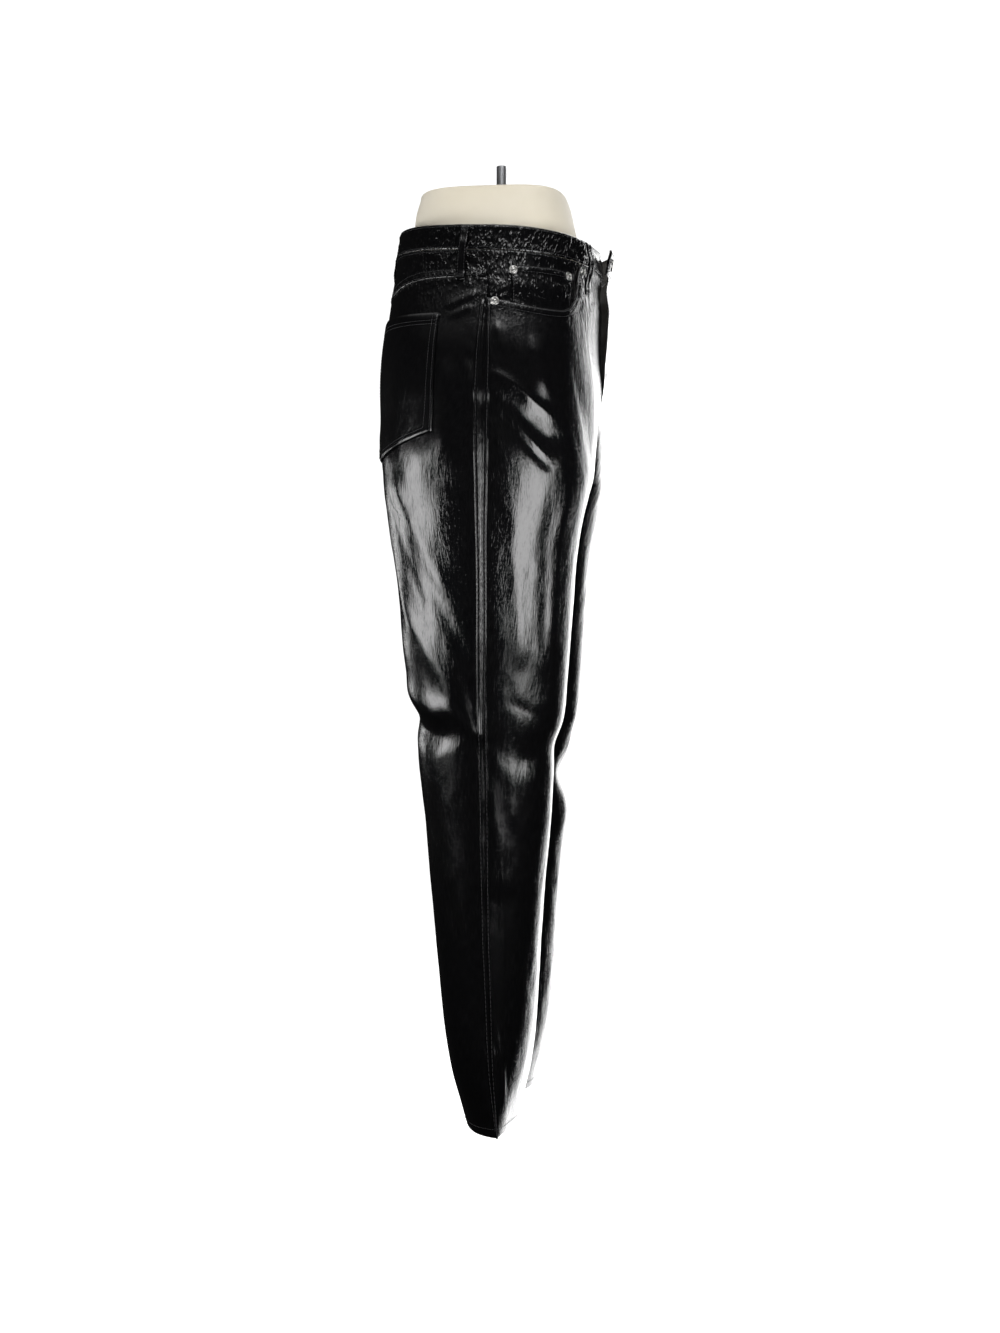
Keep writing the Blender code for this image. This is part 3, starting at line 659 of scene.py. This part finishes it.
def foldUnder(turns, drops):
    # the hem's turn-up: the same cloth carried round its lower edge and up inside
    lift = np.array([0.15, 0.5, 1.1, 2, 4, 7, panelFit["hemDepth"]])
    out = np.array([-1, -1.7, -2.15, -2.3, -2.35, -2.4, -2.4])
    hem = drops[-1]
    moreTurns = np.repeat(turns[-1:], len(lift), axis=0)
    return moreTurns, hem[None, :] - lift[:, None], np.repeat(out[:, None], turns.shape[1], axis=1)


def makeLegPanel(name, side, isFront, node):
    rowLevels = legLevels()
    columnsAt = (lambda drop: frontColumns(side, drop)) if isFront else backColumns
    turns = np.array([columnsAt(level) for level in rowLevels])
    top = frontTop(turns[0]) if isFront else readTable(yokeSeam, "drop", turns[0]) + 0.15
    drops = stretchTo(rowLevels[:, None], top[None, :], readTable(hemEdge, "drop", turns))
    out = np.zeros(turns.shape)
    # the edges roll in a little: along the front pocket's opening, along the back panel's top edge and above
    # the hem
    fromTop = drops - top[None, :]
    if isFront:
        onOpening = smoothStep((turns - 0.37) / 0.006)
        out = out + onOpening * (0.35 * bell((fromTop - 4) / 3.5) - 0.7 * bell(fromTop / 0.9))
    else:
        out = out - 0.5 * bell(fromTop / 1.5)
    out[-1] = -0.35
    turns, drops, out = (np.concatenate(pair) for pair in zip((turns, drops, out), foldUnder(turns, drops)))
    points = cloth(side, turns, drops, out)
    trimmed = trimToSeams(points, side, drops, isFront)
    points = np.where((turns < 0)[..., None], points, trimmed)
    layOn(name, node, side, turns, drops, points, panelFit["wall"])


def makeYoke(name, side, node):
    turns = backColumns(60)
    seam = readTable(yokeSeam, "drop", turns)
    share = np.linspace(0, 1, 26)[:, None]
    drops = bodyShape["panelTop"] + (seam + 1 - bodyShape["panelTop"]) * share
    toSeam = seam - drops
    out = 0.75 * smoothStep((10 - toSeam) / 8) - 0.6 * bell((toSeam + 1) / 0.8)
    turns = np.broadcast_to(turns, drops.shape)
    points = trimToSeams(cloth(side, turns, drops, out), side, drops, False)
    layOn(name, node, side, turns, drops, points, panelFit["wall"])


pocketFit = {
    "facingWall": 1,
    "coinWall": 0.9,
    "coinNear": 0.465,
    "coinFar": 0.875,
    "tuck": 3.2,
    "coinSeat": 1.5,
    "patchOut": 2.2,
    "patchWall": 1.1,
    "patchWidth": 145,
    "patchTurn": 240,   # millimetres of cloth to one turn where the patches lie
    "point": 27,
    "halfPoint": 78,    # along one half of the pointed lower edge
}
pocketSides = makeTable("drop near far", (105, 1.212, 1.844), (241, 1.152, 1.800))


def facingOut(turn, drop):
    late = smoothStep((turn - 0.86) / 0.10)
    return -pocketFit["tuck"] * smoothStep((drop - frontTop(turn) + 24 - 17 * late) / (20 - 14 * late))


def coinTop(turn):
    return 41.6 + 7.3 * turn


def makeFacing(name, side, node):
    turns = spread([(0, 0.36), (0.3, 0.42), (1, 1.0008)], 78)
    bottom = np.maximum(readTable(opening, "drop", turns) + 16, 70)
    drops = bodyShape["panelTop"] + (bottom - bodyShape["panelTop"]) * np.linspace(0, 1, 34)[:, None]
    turns = np.broadcast_to(turns, drops.shape)
    points = cloth(side, turns, drops, facingOut(turns, drops))
    layOn(name, node, side, turns, drops, points, pocketFit["facingWall"])


def makeCoinPocket():
    turns = np.linspace(pocketFit["coinNear"], pocketFit["coinFar"], 56)
    bottom = np.maximum(readTable(opening, "drop", turns) + 16, 70)
    drops = coinTop(turns) + (bottom - coinTop(turns)) * np.linspace(0, 1, 30)[:, None]
    turns = np.broadcast_to(turns, drops.shape)
    toTop = drops - coinTop(turns)
    edge = np.minimum(turns - pocketFit["coinNear"], pocketFit["coinFar"] - turns) * bodyShape["quarter"]
    out = facingOut(turns, drops) + pocketFit["coinSeat"] + 0.3 * bell((toTop - 4) / 3)
    out = out - 0.6 * bell(toTop / 0.8) - 0.6 * bell(edge / 1)
    points = cloth(right, turns, drops, out)
    layOn("coinPocketPatch", "coin_pocket", right, turns, drops, points, pocketFit["coinWall"])


def makeBackPocket(name, side, node):
    shares = np.linspace(0, 1, 64)
    top, bottom = pocketSides["rows"][:, 0]
    point = bottom + pocketFit["point"] * (1 - np.abs(2 * shares - 1))
    down = np.linspace(0, 1, 60)[:, None]
    drops = top + (point - top) * down
    near, far = readTable(pocketSides, "near", drops), readTable(pocketSides, "far", drops)
    turns = near + (far - near) * shares
    width = (far - near) * pocketFit["patchTurn"]
    edge = np.minimum(shares, 1 - shares) * width
    edge = np.minimum(edge, point - drops)
    toTop = drops - top
    out = pocketFit["patchOut"] + 0.35 * bell((edge - 4) / 2.5) + 0.4 * bell((toTop - 6) / 5)
    out = out - 1 * bell(edge / 1) - 0.5 * bell(toTop / 0.9)
    out = out + 0.8 * bell((shares - 0.5) / 0.3) * smoothStep((12 - toTop) / 12)  # the mouth gapes slightly
    points = cloth(side, turns, drops, out)
    layOn(name, node, side, turns, drops, points, pocketFit["patchWall"], 0.06 * np.ones(drops.shape))


def makeWaistband():
    rightTurns = np.concatenate([[-0.04], np.linspace(0, 2, 171)])
    leftTurns = np.concatenate([np.linspace(1.99, 0, 170), np.linspace(-0.01, -0.1, 12)])
    height = bodyShape["bandHeight"]
    share = np.concatenate([[0, 0.008, 0.02, 0.04], np.linspace(0.07, 0.95, 17), [0.975, 0.99, 1]])
    drops = height * share[:, None]
    toEdge = np.minimum(drops, height - drops)
    edgeOut = bodyShape["bandProud"] + 0.25 * bell((toEdge - 3) / 2.5) - 0.7 * bell(toEdge / 0.7)
    halves, outs, weights = [], [], []
    for side, turns in ((right, rightTurns), (left, leftTurns)):
        grid = np.broadcast_to(turns, (len(share), len(turns)))
        ended = bell((turns - turns[-1]) * bodyShape["quarter"] / 0.9) if side == left else 0
        halves.append(cloth(side, grid, drops, edgeOut - 0.8 * ended))
        outs.append(clothOut(side, grid, np.broadcast_to(drops, grid.shape)))
        weights.append(crushed(np.broadcast_to(drops, grid.shape)))
    joined = [np.concatenate(pair, axis=1) for pair in (halves, outs, weights)]
    layCloth("waistbandStrip", joined[0], joined[1], bodyShape["bandWall"], ["waistband"], joined[2])


makeLegPanel("frontRight", right, True, "front_right")
makeLegPanel("frontLeft", left, True, "front_left")
makeLegPanel("backRight", right, False, "back_right")
makeLegPanel("backLeft", left, False, "back_left")
print("leg panels laid")
makeYoke("yokeRight", right, "yoke_right")
makeYoke("yokeLeft", left, "yoke_left")
makeFacing("facingRight", right, "facing_right")
makeFacing("facingLeft", left, "facing_left")
makeCoinPocket()
makeBackPocket("backPocketRight", right, "back_pocket_right")
makeBackPocket("backPocketLeft", left, "back_pocket_left")
makeWaistband()
print("waistband, yokes and pockets laid")

# belt loops
loopFit = {"width": 11, "top": 3, "length": 64, "wall": 1.9}
loopStations = makeTable(
    "share out wall",
    (0.00, 1.2, 3), (0.10, 1.3, 3), (0.17, 2.4, 2), (0.30, 3.7, 2), (0.50, 4.1, 2),
    (0.70, 3.4, 2), (0.84, 1.6, 2), (0.90, 0.8, 3), (1.00, 0.6, 3),
)
loopPlaces = (
    # piece, node, side, turn at the top, turn at the bottom
    ("loopFrontRight", "loop_front_right", right, 0.296, 0.320),
    ("loopFrontLeft", "loop_front_left", left, 0.296, 0.320),
    ("loopSideRight", "loop_side_right", right, 1.092, 1.126),
    ("loopSideLeft", "loop_side_left", left, 1.092, 1.126),
    ("loopBack", "loop_back", right, 2, 2),
)


def loopGrid(side, top, bottom):
    # rows down the strap and columns across it, on its outer face
    share = np.linspace(0, 1, 52)[:, None]
    across = np.linspace(-1, 1, 13)
    turns = top + (bottom - top) * share + across * loopFit["width"] / 2 / bodyShape["quarter"]
    drops = loopFit["top"] + loopFit["length"] * share + 0 * across
    out = readTable(loopStations, "out", share) + readTable(loopStations, "wall", share)
    out = out + 0.35 * bell((np.abs(across) - 0.66) / 0.18) - 0.45 * bell((1 - np.abs(across)) / 0.09)
    ends = np.minimum(share, 1 - share) * loopFit["length"]
    out = out - 0.5 * bell(ends / 0.9)
    if top < 2:
        return cloth(side, turns, drops, out), clothOut(side, turns, drops)
    half = across <= 0
    points = cloth(right, turns[:, half], drops[:, half], out[:, half])
    normals = clothOut(right, turns[:, half], drops[:, half])
    return tuple(np.concatenate([grid, grid[:, -2::-1] * (-1, 1, 1)], axis=1) for grid in (points, normals))


for name, node, side, top, bottom in loopPlaces:
    points, outs = loopGrid(side, top, bottom)
    layCloth(name, points, outs, loopFit["wall"], [node], 0.15 * np.ones(points.shape[:2]))
print("belt loops bent")

# stitching
stitchLook = {"pitch": 3.5, "length": 2.7, "width": 0.62, "height": 0.5}


def oneStitch():
    # a small rounded bead, as its points and faces, that every row repeats
    shape = bmesh.new()
    bmesh.ops.create_uvsphere(shape, u_segments=6, v_segments=4, radius=0.5)
    bmesh.ops.rotate(shape, verts=shape.verts, matrix=Matrix.Rotation(math.pi / 2, 3, "Y"))
    points = np.array([vert.co for vert in shape.verts])
    faces = [[vert.index for vert in face.verts] for face in shape.faces]
    shape.free()
    return points, faces


stitchPoints, stitchFaces = oneStitch()


def alongRun(at, run, values):
    return np.stack([np.interp(at, run, values[:, k]) for k in range(3)], axis=-1)


def sewRow(row, path, pitch=None, length=None):
    # stitches along a path of world points with their outward directions
    points, normals = path
    pitch = pitch or stitchLook["pitch"]
    length = length or stitchLook["length"]
    run = np.concatenate([[0], np.cumsum(np.linalg.norm(np.diff(points, axis=0), axis=1))])
    count = max(1, int(run[-1] / pitch))
    middle = (np.arange(count) + 0.5) * run[-1] / count
    here = alongRun(middle, run, points)
    along = alongRun(middle + 0.4, run, points) - alongRun(middle - 0.4, run, points)
    up = alongRun(middle, run, normals)
    up = up / np.linalg.norm(up, axis=1, keepdims=True)
    along = along - up * (along * up).sum(axis=1, keepdims=True)
    along = along / np.linalg.norm(along, axis=1, keepdims=True)
    aside = np.cross(up, along) * stitchLook["width"]
    axes = np.stack([along * length, aside, up * stitchLook["height"]], axis=1)
    row.append(here[:, None, :] + np.einsum("pk,nkc->npc", stitchPoints, axes))


def clothPath(side, turns, drops, out, count=240):
    at = np.linspace(0, 1, len(turns))
    fine = np.linspace(0, 1, count)
    turn, drop = np.interp(fine, at, turns), np.interp(fine, at, drops)
    lift = np.interp(fine, at, np.broadcast_to(out, (len(turns),)))
    return cloth(side, turn, drop, lift), clothOut(side, turn, drop)


def finishStitches(name, rows):
    beads = np.concatenate(rows)
    faces = [[k + i * beads.shape[1] for k in face] for i in range(len(beads)) for face in stitchFaces]
    mesh = bpy.data.meshes.new(name)
    mesh.from_pydata(beads.reshape(-1, 3) * mm, [], faces)
    mesh.shade_smooth()
    addPiece(name, mesh, [], "patent_cloth", thread)


def sewWaist(rows):
    height = bodyShape["bandHeight"]
    for side, last in ((right, 0), (left, -0.092)):
        turns = np.linspace(2 if side == right else 1.995, last, 300)
        for drop, out in ((3, 1.15), (height - 2.2, 1.1), (height + 3.2, 0.15)):
            use = turns if drop < height else turns[turns > 0.02]
            if drop > height:
                for part in (use[use > 1], use[use < 0.372]):
                    sewRow(rows, clothPath(side, part, np.full(len(part), drop), out, 500))
                continue
            sewRow(rows, clothPath(side, use, np.full(len(use), drop), out, 900))
    sewRow(rows, clothPath(left, [-0.086, -0.086], [4.5, height - 3.5], 1.1))


def sewYokes(rows):
    turns = np.linspace(1.01, 1.995, 200)
    seam = readTable(yokeSeam, "drop", turns)
    for side in (right, left):
        for back in (1.6, 7.6):
            sewRow(rows, clothPath(side, turns, seam - back, 0.85 if back < 4 else 0.65, 500))


def sewPocketOpenings(rows):
    turns = np.concatenate([np.linspace(0.377, 0.43, 40), np.linspace(0.435, 0.985, 120)])
    edge = readTable(opening, "drop", turns)
    for side in (right, left):
        for inset in (2.2, 8.2):
            # the row keeps its distance from the opening's edge, measured over the cloth
            slope = np.gradient(edge, turns) / bodyShape["quarter"]
            size = np.sqrt(1 + slope**2)
            moveTurn, moveDrop = slope / size, 1 / size
            rowTurn = turns - moveTurn * inset / bodyShape["quarter"]
            rowDrop = edge + moveDrop * inset
            keep = (rowDrop > bodyShape["panelTop"] + 1) & (rowTurn < 0.985)
            sewRow(rows, clothPath(side, rowTurn[keep], rowDrop[keep], 0.45 if inset < 4 else 0.2, 500))


def sewCoinPocket(rows):
    seat = pocketFit["coinSeat"]
    for inset in (2, 7.5):
        turns = np.linspace(0.472, 0.868, 60)
        drops = coinTop(turns) + inset
        sewRow(rows, clothPath(right, turns, drops, facingOut(turns, drops) + seat + 0.4, 300))
    for turn in (0.474, 0.866):
        drops = np.linspace(coinTop(turn) + 2, readTable(opening, "drop", turn) - 1, 40)
        turns = np.full(40, turn)
        sewRow(rows, clothPath(right, turns, drops, facingOut(turns, drops) + seat + 0.2, 200))


def pocketPath(side, inset):
    # down one side of the patch, along its pointed bottom and up the other side
    top, bottom = pocketSides["rows"][:, 0]
    share = inset / pocketFit["patchWidth"]
    corner, tip = bottom - inset * 0.6, bottom + pocketFit["point"] - inset * 1.1
    shares, drops = (share, share, 0.5, 1 - share, 1 - share), (top, corner, tip, corner, top)
    tall, half = bottom - top, pocketFit["halfPoint"]
    at = np.concatenate([[0], np.cumsum([tall, half, half, tall])])
    fine = np.linspace(0, at[-1], 400)
    share, drop = np.interp(fine, at, shares), np.interp(fine, at, drops)
    near, far = readTable(pocketSides, "near", drop), readTable(pocketSides, "far", drop)
    return clothPath(side, near + (far - near) * share, drop, pocketFit["patchOut"] + 0.4, 700)


def sewBackPockets(rows):
    for side in (right, left):
        for inset in (2.2, 8.2):
            sewRow(rows, pocketPath(side, inset))
        for down in (9, 13):
            drop = pocketSides["rows"][0, 0] + down
            near, far = (readTable(pocketSides, name, drop) for name in ("near", "far"))
            turns = np.linspace(near + 0.012, far - 0.012, 60)
            sewRow(rows, clothPath(side, turns, np.full(60, drop), pocketFit["patchOut"] + 0.5, 300))


def sewSideSeams(rows):
    # a raised edge on each side of the side seam, caught by long stitches
    drops = np.linspace(98, 1022, 300)
    for side in (right, left):
        for aside in (-3.3, 3.3):
            path = clothPath(side, 1 + aside / turnLength(drops), drops, 0.12, 1200)
            sewRow(rows, path, pitch=5, length=4.6)


def sewHems(rows):
    for side in (right, left):
        for turns in (np.linspace(0.03, 0.97, 160), np.linspace(1.03, 1.97, 160)):
            drops = readTable(hemEdge, "drop", turns) - 9
            sewRow(rows, clothPath(side, turns, drops, 0.15, 500))


def sewFly(rows):
    # the J of stitches on the left front, and the row down the centre back
    for inset in (0, 6):
        aside, bend = inset / bodyShape["quarter"], np.linspace(0, math.pi / 2, 40)
        edge, foot = 0.155 - aside, 150 - inset
        turns = np.concatenate([np.full(60, edge), edge - (0.15 - aside) * (1 - np.cos(bend))])
        drops = np.concatenate([np.linspace(33, foot, 60), foot + (32 - inset * 0.3) * np.sin(bend)])
        sewRow(rows, clothPath(left, turns, drops, 0.2, 500))
    sewRow(rows, clothPath(left, np.full(80, -0.03), np.linspace(32, 138, 80), 0.2, 300))
    for side in (right, left):
        drops = np.linspace(88, 250, 80)
        sewRow(rows, clothPath(side, np.full(80, 1.975), drops, 0.2, 300))


def barTack(rows, side, turn, drop, out, wide, high, count):
    for k in range(count):
        share = (k + 0.5) / count - 0.5
        down = drop + np.array([-high / 2, high / 2])
        turns = np.full(2, turn + share * wide / bodyShape["quarter"])
        sewRow(rows, clothPath(side, turns, down, out, 6), pitch=high * 1.01, length=high)


def sewLoops(rows):
    for _, _, side, top, bottom in loopPlaces:
        points, normals = loopGrid(side, top, bottom)
        for column in (2, 10):
            sewRow(rows, (points[2:-2, column] + normals[2:-2, column] * 0.1, normals[2:-2, column]))
        for row in (2, 3, 4, 46, 47, 48):
            across = points[row, 1:-1] + normals[row, 1:-1] * 0.15
            sewRow(rows, (across, normals[row, 1:-1]), pitch=1.5, length=1.6)


def sewTacks(rows):
    for side in (right, left):
        barTack(rows, side, 1.215, 108, 2.7, 8, 2, 8)
        barTack(rows, side, 1.838, 108, 2.7, 8, 2, 8)
    barTack(rows, left, 0.02, 150, 0.3, 2.4, 9, 5)


sewings = (
    ("waistStitches", sewWaist), ("yokeStitches", sewYokes), ("openingStitches", sewPocketOpenings),
    ("coinPocketStitches", sewCoinPocket), ("backPocketStitches", sewBackPockets),
    ("sideSeamStitches", sewSideSeams), ("hemStitches", sewHems), ("flyStitches", sewFly),
    ("loopStitches", sewLoops), ("barTacks", sewTacks),
)
for name, sew in sewings:
    rows = []
    sew(rows)
    finishStitches(name, rows)
print("rows of stitches sewn")

# metal trim
studLook = {"rivetRadius": 5.2, "rivetHeight": 1.6, "buttonRadius": 8.2, "buttonHeight": 3, "steps": 40}
rivetProfile = (
    (0, 0), (0.97, 0), (1, 0.14), (1, 0.36), (0.97, 0.60), (0.90, 0.78), (0.82, 0.84), (0.74, 0.78),
    (0.69, 0.60), (0.66, 0.30), (0.62, 0.16), (0.46, 0.14), (0.41, 0.26), (0.38, 0.60), (0.32, 0.86),
    (0.2, 0.97), (0, 1),
)
buttonProfile = (
    (0, 0), (0.90, 0), (0.97, 0.08), (1, 0.22), (0.99, 0.40), (0.94, 0.58), (0.86, 0.70), (0.80, 0.74),
    (0.76, 0.70), (0.72, 0.62), (0.66, 0.60), (0.58, 0.64), (0.46, 0.74), (0.28, 0.84), (0, 0.88),
)
studPlaces = (
    # piece, node, side, turn, drop, out
    ("rivetCoinFront", "rivet_coin_front", right, 0.484, 51, 1.8),
    ("rivetCoinBack", "rivet_coin_back", right, 0.855, 54, 1.7),
    ("rivetFrontRight", "rivet_front_right", right, 0.358, 38, 1.4),
    ("rivetFrontLeft", "rivet_front_left", left, 0.358, 38, 1.4),
    ("rivetSideRight", "rivet_side_right", right, 0.966, 91.5, 0.2),
    ("rivetSideLeft", "rivet_side_left", left, 0.966, 91.5, 0.2),
)


def spinProfile(profile, wide, tall, steps):
    # pairs of (radius, height), turned about the Z axis
    shape = bmesh.new()
    verts = [shape.verts.new((r * wide * mm, 0, h * tall * mm)) for r, h in profile]
    edges = [shape.edges.new(pair) for pair in zip(verts, verts[1:])]
    bmesh.ops.spin(
        shape, geom=verts + edges, axis=(0, 0, 1), cent=(0, 0, 0), steps=steps, angle=math.tau,
        use_merge=True,
    )
    bmesh.ops.remove_doubles(shape, verts=shape.verts, dist=1e-6)
    bmesh.ops.recalc_face_normals(shape, faces=shape.faces)
    return shape


def smoothMesh(name, shape, sharpFrom=None):
    mesh = bpy.data.meshes.new(name)
    shape.to_mesh(mesh)
    shape.free()
    mesh.shade_smooth()
    if sharpFrom is not None:
        mesh.set_sharp_from_angle(angle=math.radians(sharpFrom))
    return mesh


def makeStud(name, node, side, turn, drop, out, kind, profile):
    # a stud stands on the cloth's large folds, without its fine creases
    shape = spinProfile(profile, studLook[kind + "Radius"], studLook[kind + "Height"], studLook["steps"])
    turn, drop = np.float64(turn), np.float64(drop)
    height = out + foldHeights(mainFolds, foldScale, side, turn, drop)
    foot = (barePoint(side, turn, drop) + height * outward(side, turn, drop)) * (side, 1, 1)
    aim = Vector(clothOut(side, turn, drop)).to_track_quat("Z", "Y").to_matrix().to_4x4()
    bmesh.ops.transform(shape, verts=shape.verts, matrix=Matrix.Translation(Vector(foot) * mm) @ aim)
    addPiece(name, smoothMesh(name, shape), [node], "silver_metal", silver)


for place in studPlaces:
    makeStud(*place, "rivet", rivetProfile)
makeStud("shankButton", "button", left, -0.03, 14.5, 1.3, "button", buttonProfile)
print("rivets and button set")

# form and rod
formShape = makeTable(
    "drop side front back square",
    (-54.5, 105, -81.5, 91, 3.7),
    (-53.5, 106, -82.5, 92, 3.7),
    (-50, 107, -83.5, 93, 3.6),
    (-35, 112, -87, 99, 3.1),
    (-14, 119.5, -92.2, 103, 2.6),
    (0, 126, -97, 105.5, 2.3),
    (40, 139, -104, 109, 2.1),
    (90, 153.5, -111, 120.5, 2.2),
    (112, 161, -112.5, 125.5, 2.3),
    (140, 171.3, -115, 131, 2.4),
    (170, 176.9, -114, 133, 2.5),
    (200, 175, -103, 120, 2.4),
    (228, 160, -83, 97, 2.3),
    (248, 128, -56, 66, 2.2),
    (258, 85, -34, 42, 2.1),
    (262, 40, -15, 20, 2),
)
formLook = {"around": 128, "down": 120, "capRows": 14, "footRows": 8, "crowding": 1.6}


def makeForm():
    look = formLook
    top, foot = formShape["rows"][[0, -1], 0]
    bodyRows = look["down"] - look["capRows"] - look["footRows"]
    shape = bmesh.new()
    bmesh.ops.create_uvsphere(shape, u_segments=look["around"], v_segments=look["down"], radius=1)
    for vert in shape.verts:
        row = math.acos(max(-1, min(1, vert.co.z))) / math.pi * look["down"]
        angle = math.atan2(vert.co.x, vert.co.y)
        share = min(max((row - look["capRows"]) / bodyRows, 0), 1)
        drop = top + (foot - top) * share ** look["crowding"]
        shrink = min(row / look["capRows"], 1, (look["down"] - row) / look["footRows"])
        value = {name: float(readTable(formShape, name, drop)) for name in formShape["names"][1:]}
        power = 2 / value["square"]
        reach = value["back"] if math.cos(angle) > 0 else -value["front"]
        x = value["side"] * float(signedPower(math.sin(angle), power)) * shrink
        y = reach * float(signedPower(math.cos(angle), power)) * shrink
        vert.co = Vector((x, y, -(bodyShape["rodToWaist"] + drop))) * mm
    bmesh.ops.recalc_face_normals(shape, faces=shape.faces)
    addPiece("hipForm", smoothMesh("hipForm", shape, 35), ["hip_form"], "form_cover", jersey)


def makeRod():
    # a turned bar with a softly broken edge at its top end
    profile = ((0, 0), (5.4, 0), (5.8, -0.2), (6, -0.6), (6, -79.2), (0, -79.2))
    shape = spinProfile(profile, 1, 1, 64)
    addPiece("hangingRod", smoothMesh("hangingRod", shape, 40), ["rod"], "rod_steel", brushed)


makeForm()
makeRod()
print("form and rod made")

# studio
studioLook = {
    "floorHeight": -1.66,
    "floorRadius": 5,
    "backdrop": 1.15,
    "floorGlow": 1,
    "behind": 3.2,     # brightness of the white set as the gloss mirrors it, behind and to the right
    "above": 0.5,
    "elsewhere": 0.006,
}
softBoxes = (
    # name, degrees round from the camera towards the garment's front, distance, height, width, tall,
    # radiance, and whether the gloss mirrors it
    ("keyFront", 30, 0.80, -0.505, 0.46, 0.45, 7, True),
    ("keyBack", -62, 0.80, -0.505, 0.38, 0.45, 7, True),
    ("edgeBack", -118, 1.35, -0.52, 0.40, 0.48, 4, True),
    ("topFront", 10, 1.10, 1.40, 1.10, 0.60, 5, True),
    ("fillFar", 178, 3.2, -0.30, 1.2, 1.2, 1.2, True),
    ("softLeft", -50, 2.6, 0.90, 2, 2, 1.7, False),
    ("softRight", 50, 2.6, 0.90, 2, 2, 1.7, False),
    ("softFar", 180, 2.6, 0.90, 2, 2, 1.7, False),
)


def aroundCamera(degrees, distance, height):
    angle = math.radians(cameraLook["turned"])
    toCamera = Vector((-math.cos(angle), -math.sin(angle), 0))
    turned = Matrix.Rotation(math.radians(degrees), 3, "Z") @ toCamera
    return turned * distance + Vector((0, 0, height))


def makeSoftBox(name, degrees, distance, height, width, tall, radiance, mirrored):
    data = bpy.data.lights.new(name, "AREA")
    data.shape = "RECTANGLE"
    data.size, data.size_y = width, tall
    data.energy = radiance * math.pi * width * tall
    lamp = bpy.data.objects.new(name, data)
    lamp.location = aroundCamera(degrees, distance, height)
    aim = Vector((0, 0, cameraLook["height"] if mirrored and height < 0 else -0.15))
    lamp.rotation_euler = (aim - lamp.location).to_track_quat("-Z", "Y").to_euler()
    lamp.visible_camera = False
    lamp.visible_glossy = mirrored
    bpy.context.collection.objects.link(lamp)


def makeWorld():
    # white where it is seen directly; what the gloss mirrors is dark apart from the bright side behind
    world = bpy.data.worlds.new("studio")
    bpy.context.scene.world = world
    world.use_nodes = True
    nodes, links = world.node_tree.nodes, world.node_tree.links
    nodes.clear()
    output, mix = nodes.new("ShaderNodeOutputWorld"), nodes.new("ShaderNodeMixShader")
    path = nodes.new("ShaderNodeLightPath")
    seen, mirrored = nodes.new("ShaderNodeBackground"), nodes.new("ShaderNodeBackground")
    for background in (seen, mirrored):
        background.inputs["Color"].default_value = (1, 1, 1, 1)
    seen.inputs["Strength"].default_value = studioLook["backdrop"]
    angle = math.radians(cameraLook["turned"])
    away = (math.cos(angle), math.sin(angle), 0)
    front = (math.sin(angle), -math.cos(angle), 0)
    direction = nodes.new("ShaderNodeTexCoord").outputs["Generated"]

    def facing(vector, low, high):
        dot = nodes.new("ShaderNodeVectorMath")
        dot.operation = "DOT_PRODUCT"
        dot.inputs[1].default_value = vector
        links.new(direction, dot.inputs[0])
        step = nodes.new("ShaderNodeMapRange")
        step.interpolation_type = "SMOOTHSTEP"
        step.inputs["From Min"].default_value, step.inputs["From Max"].default_value = low, high
        links.new(dot.outputs["Value"], step.inputs["Value"])
        return step.outputs["Result"]

    def combine(operation, a, b):
        node = nodes.new("ShaderNodeMath")
        node.operation = operation
        for slot, value in zip(node.inputs, (a, b)):
            if isinstance(value, float):
                slot.default_value = value
            else:
                links.new(value, slot)
        return node.outputs[0]

    behind = combine("MULTIPLY", facing(away, 0.66, 0.74), facing(front, -0.04, 0.06))
    above = combine("MULTIPLY", facing((0, 0, 1), 0.55, 0.95), studioLook["above"])
    total = combine("ADD", combine("MULTIPLY", behind, studioLook["behind"]), above)
    total = combine("ADD", total, studioLook["elsewhere"])
    links.new(total, mirrored.inputs["Strength"])
    links.new(path.outputs["Is Camera Ray"], mix.inputs["Fac"])
    links.new(mirrored.outputs[0], mix.inputs[1])
    links.new(seen.outputs[0], mix.inputs[2])
    links.new(mix.outputs[0], output.inputs[0])


def makeFloor():
    shape = bmesh.new()
    place = Matrix.Translation((0, 0, studioLook["floorHeight"]))
    bmesh.ops.create_circle(shape, cap_ends=True, segments=96, radius=studioLook["floorRadius"], matrix=place)
    mesh = bpy.data.meshes.new("studioFloor")
    shape.to_mesh(mesh)
    shape.free()
    material, _ = newMaterial("paleFloor", {
        "Base Color": (0.9, 0.9, 0.9, 1), "Roughness": 0.9, "Specular IOR Level": 0.1,
        "Emission Color": (1, 1, 1, 1), "Emission Strength": studioLook["floorGlow"],
    })
    mesh.materials.append(material)
    floor = bpy.data.objects.new("studioFloor", mesh)
    bpy.context.collection.objects.link(floor)
    # the floor lights nothing: that stays with the lamps and the world
    floor.visible_glossy = floor.visible_diffuse = False


for box in softBoxes:
    makeSoftBox(*box)
makeWorld()
makeFloor()
bpy.context.scene.view_settings.view_transform = "Standard"
print("studio lit")
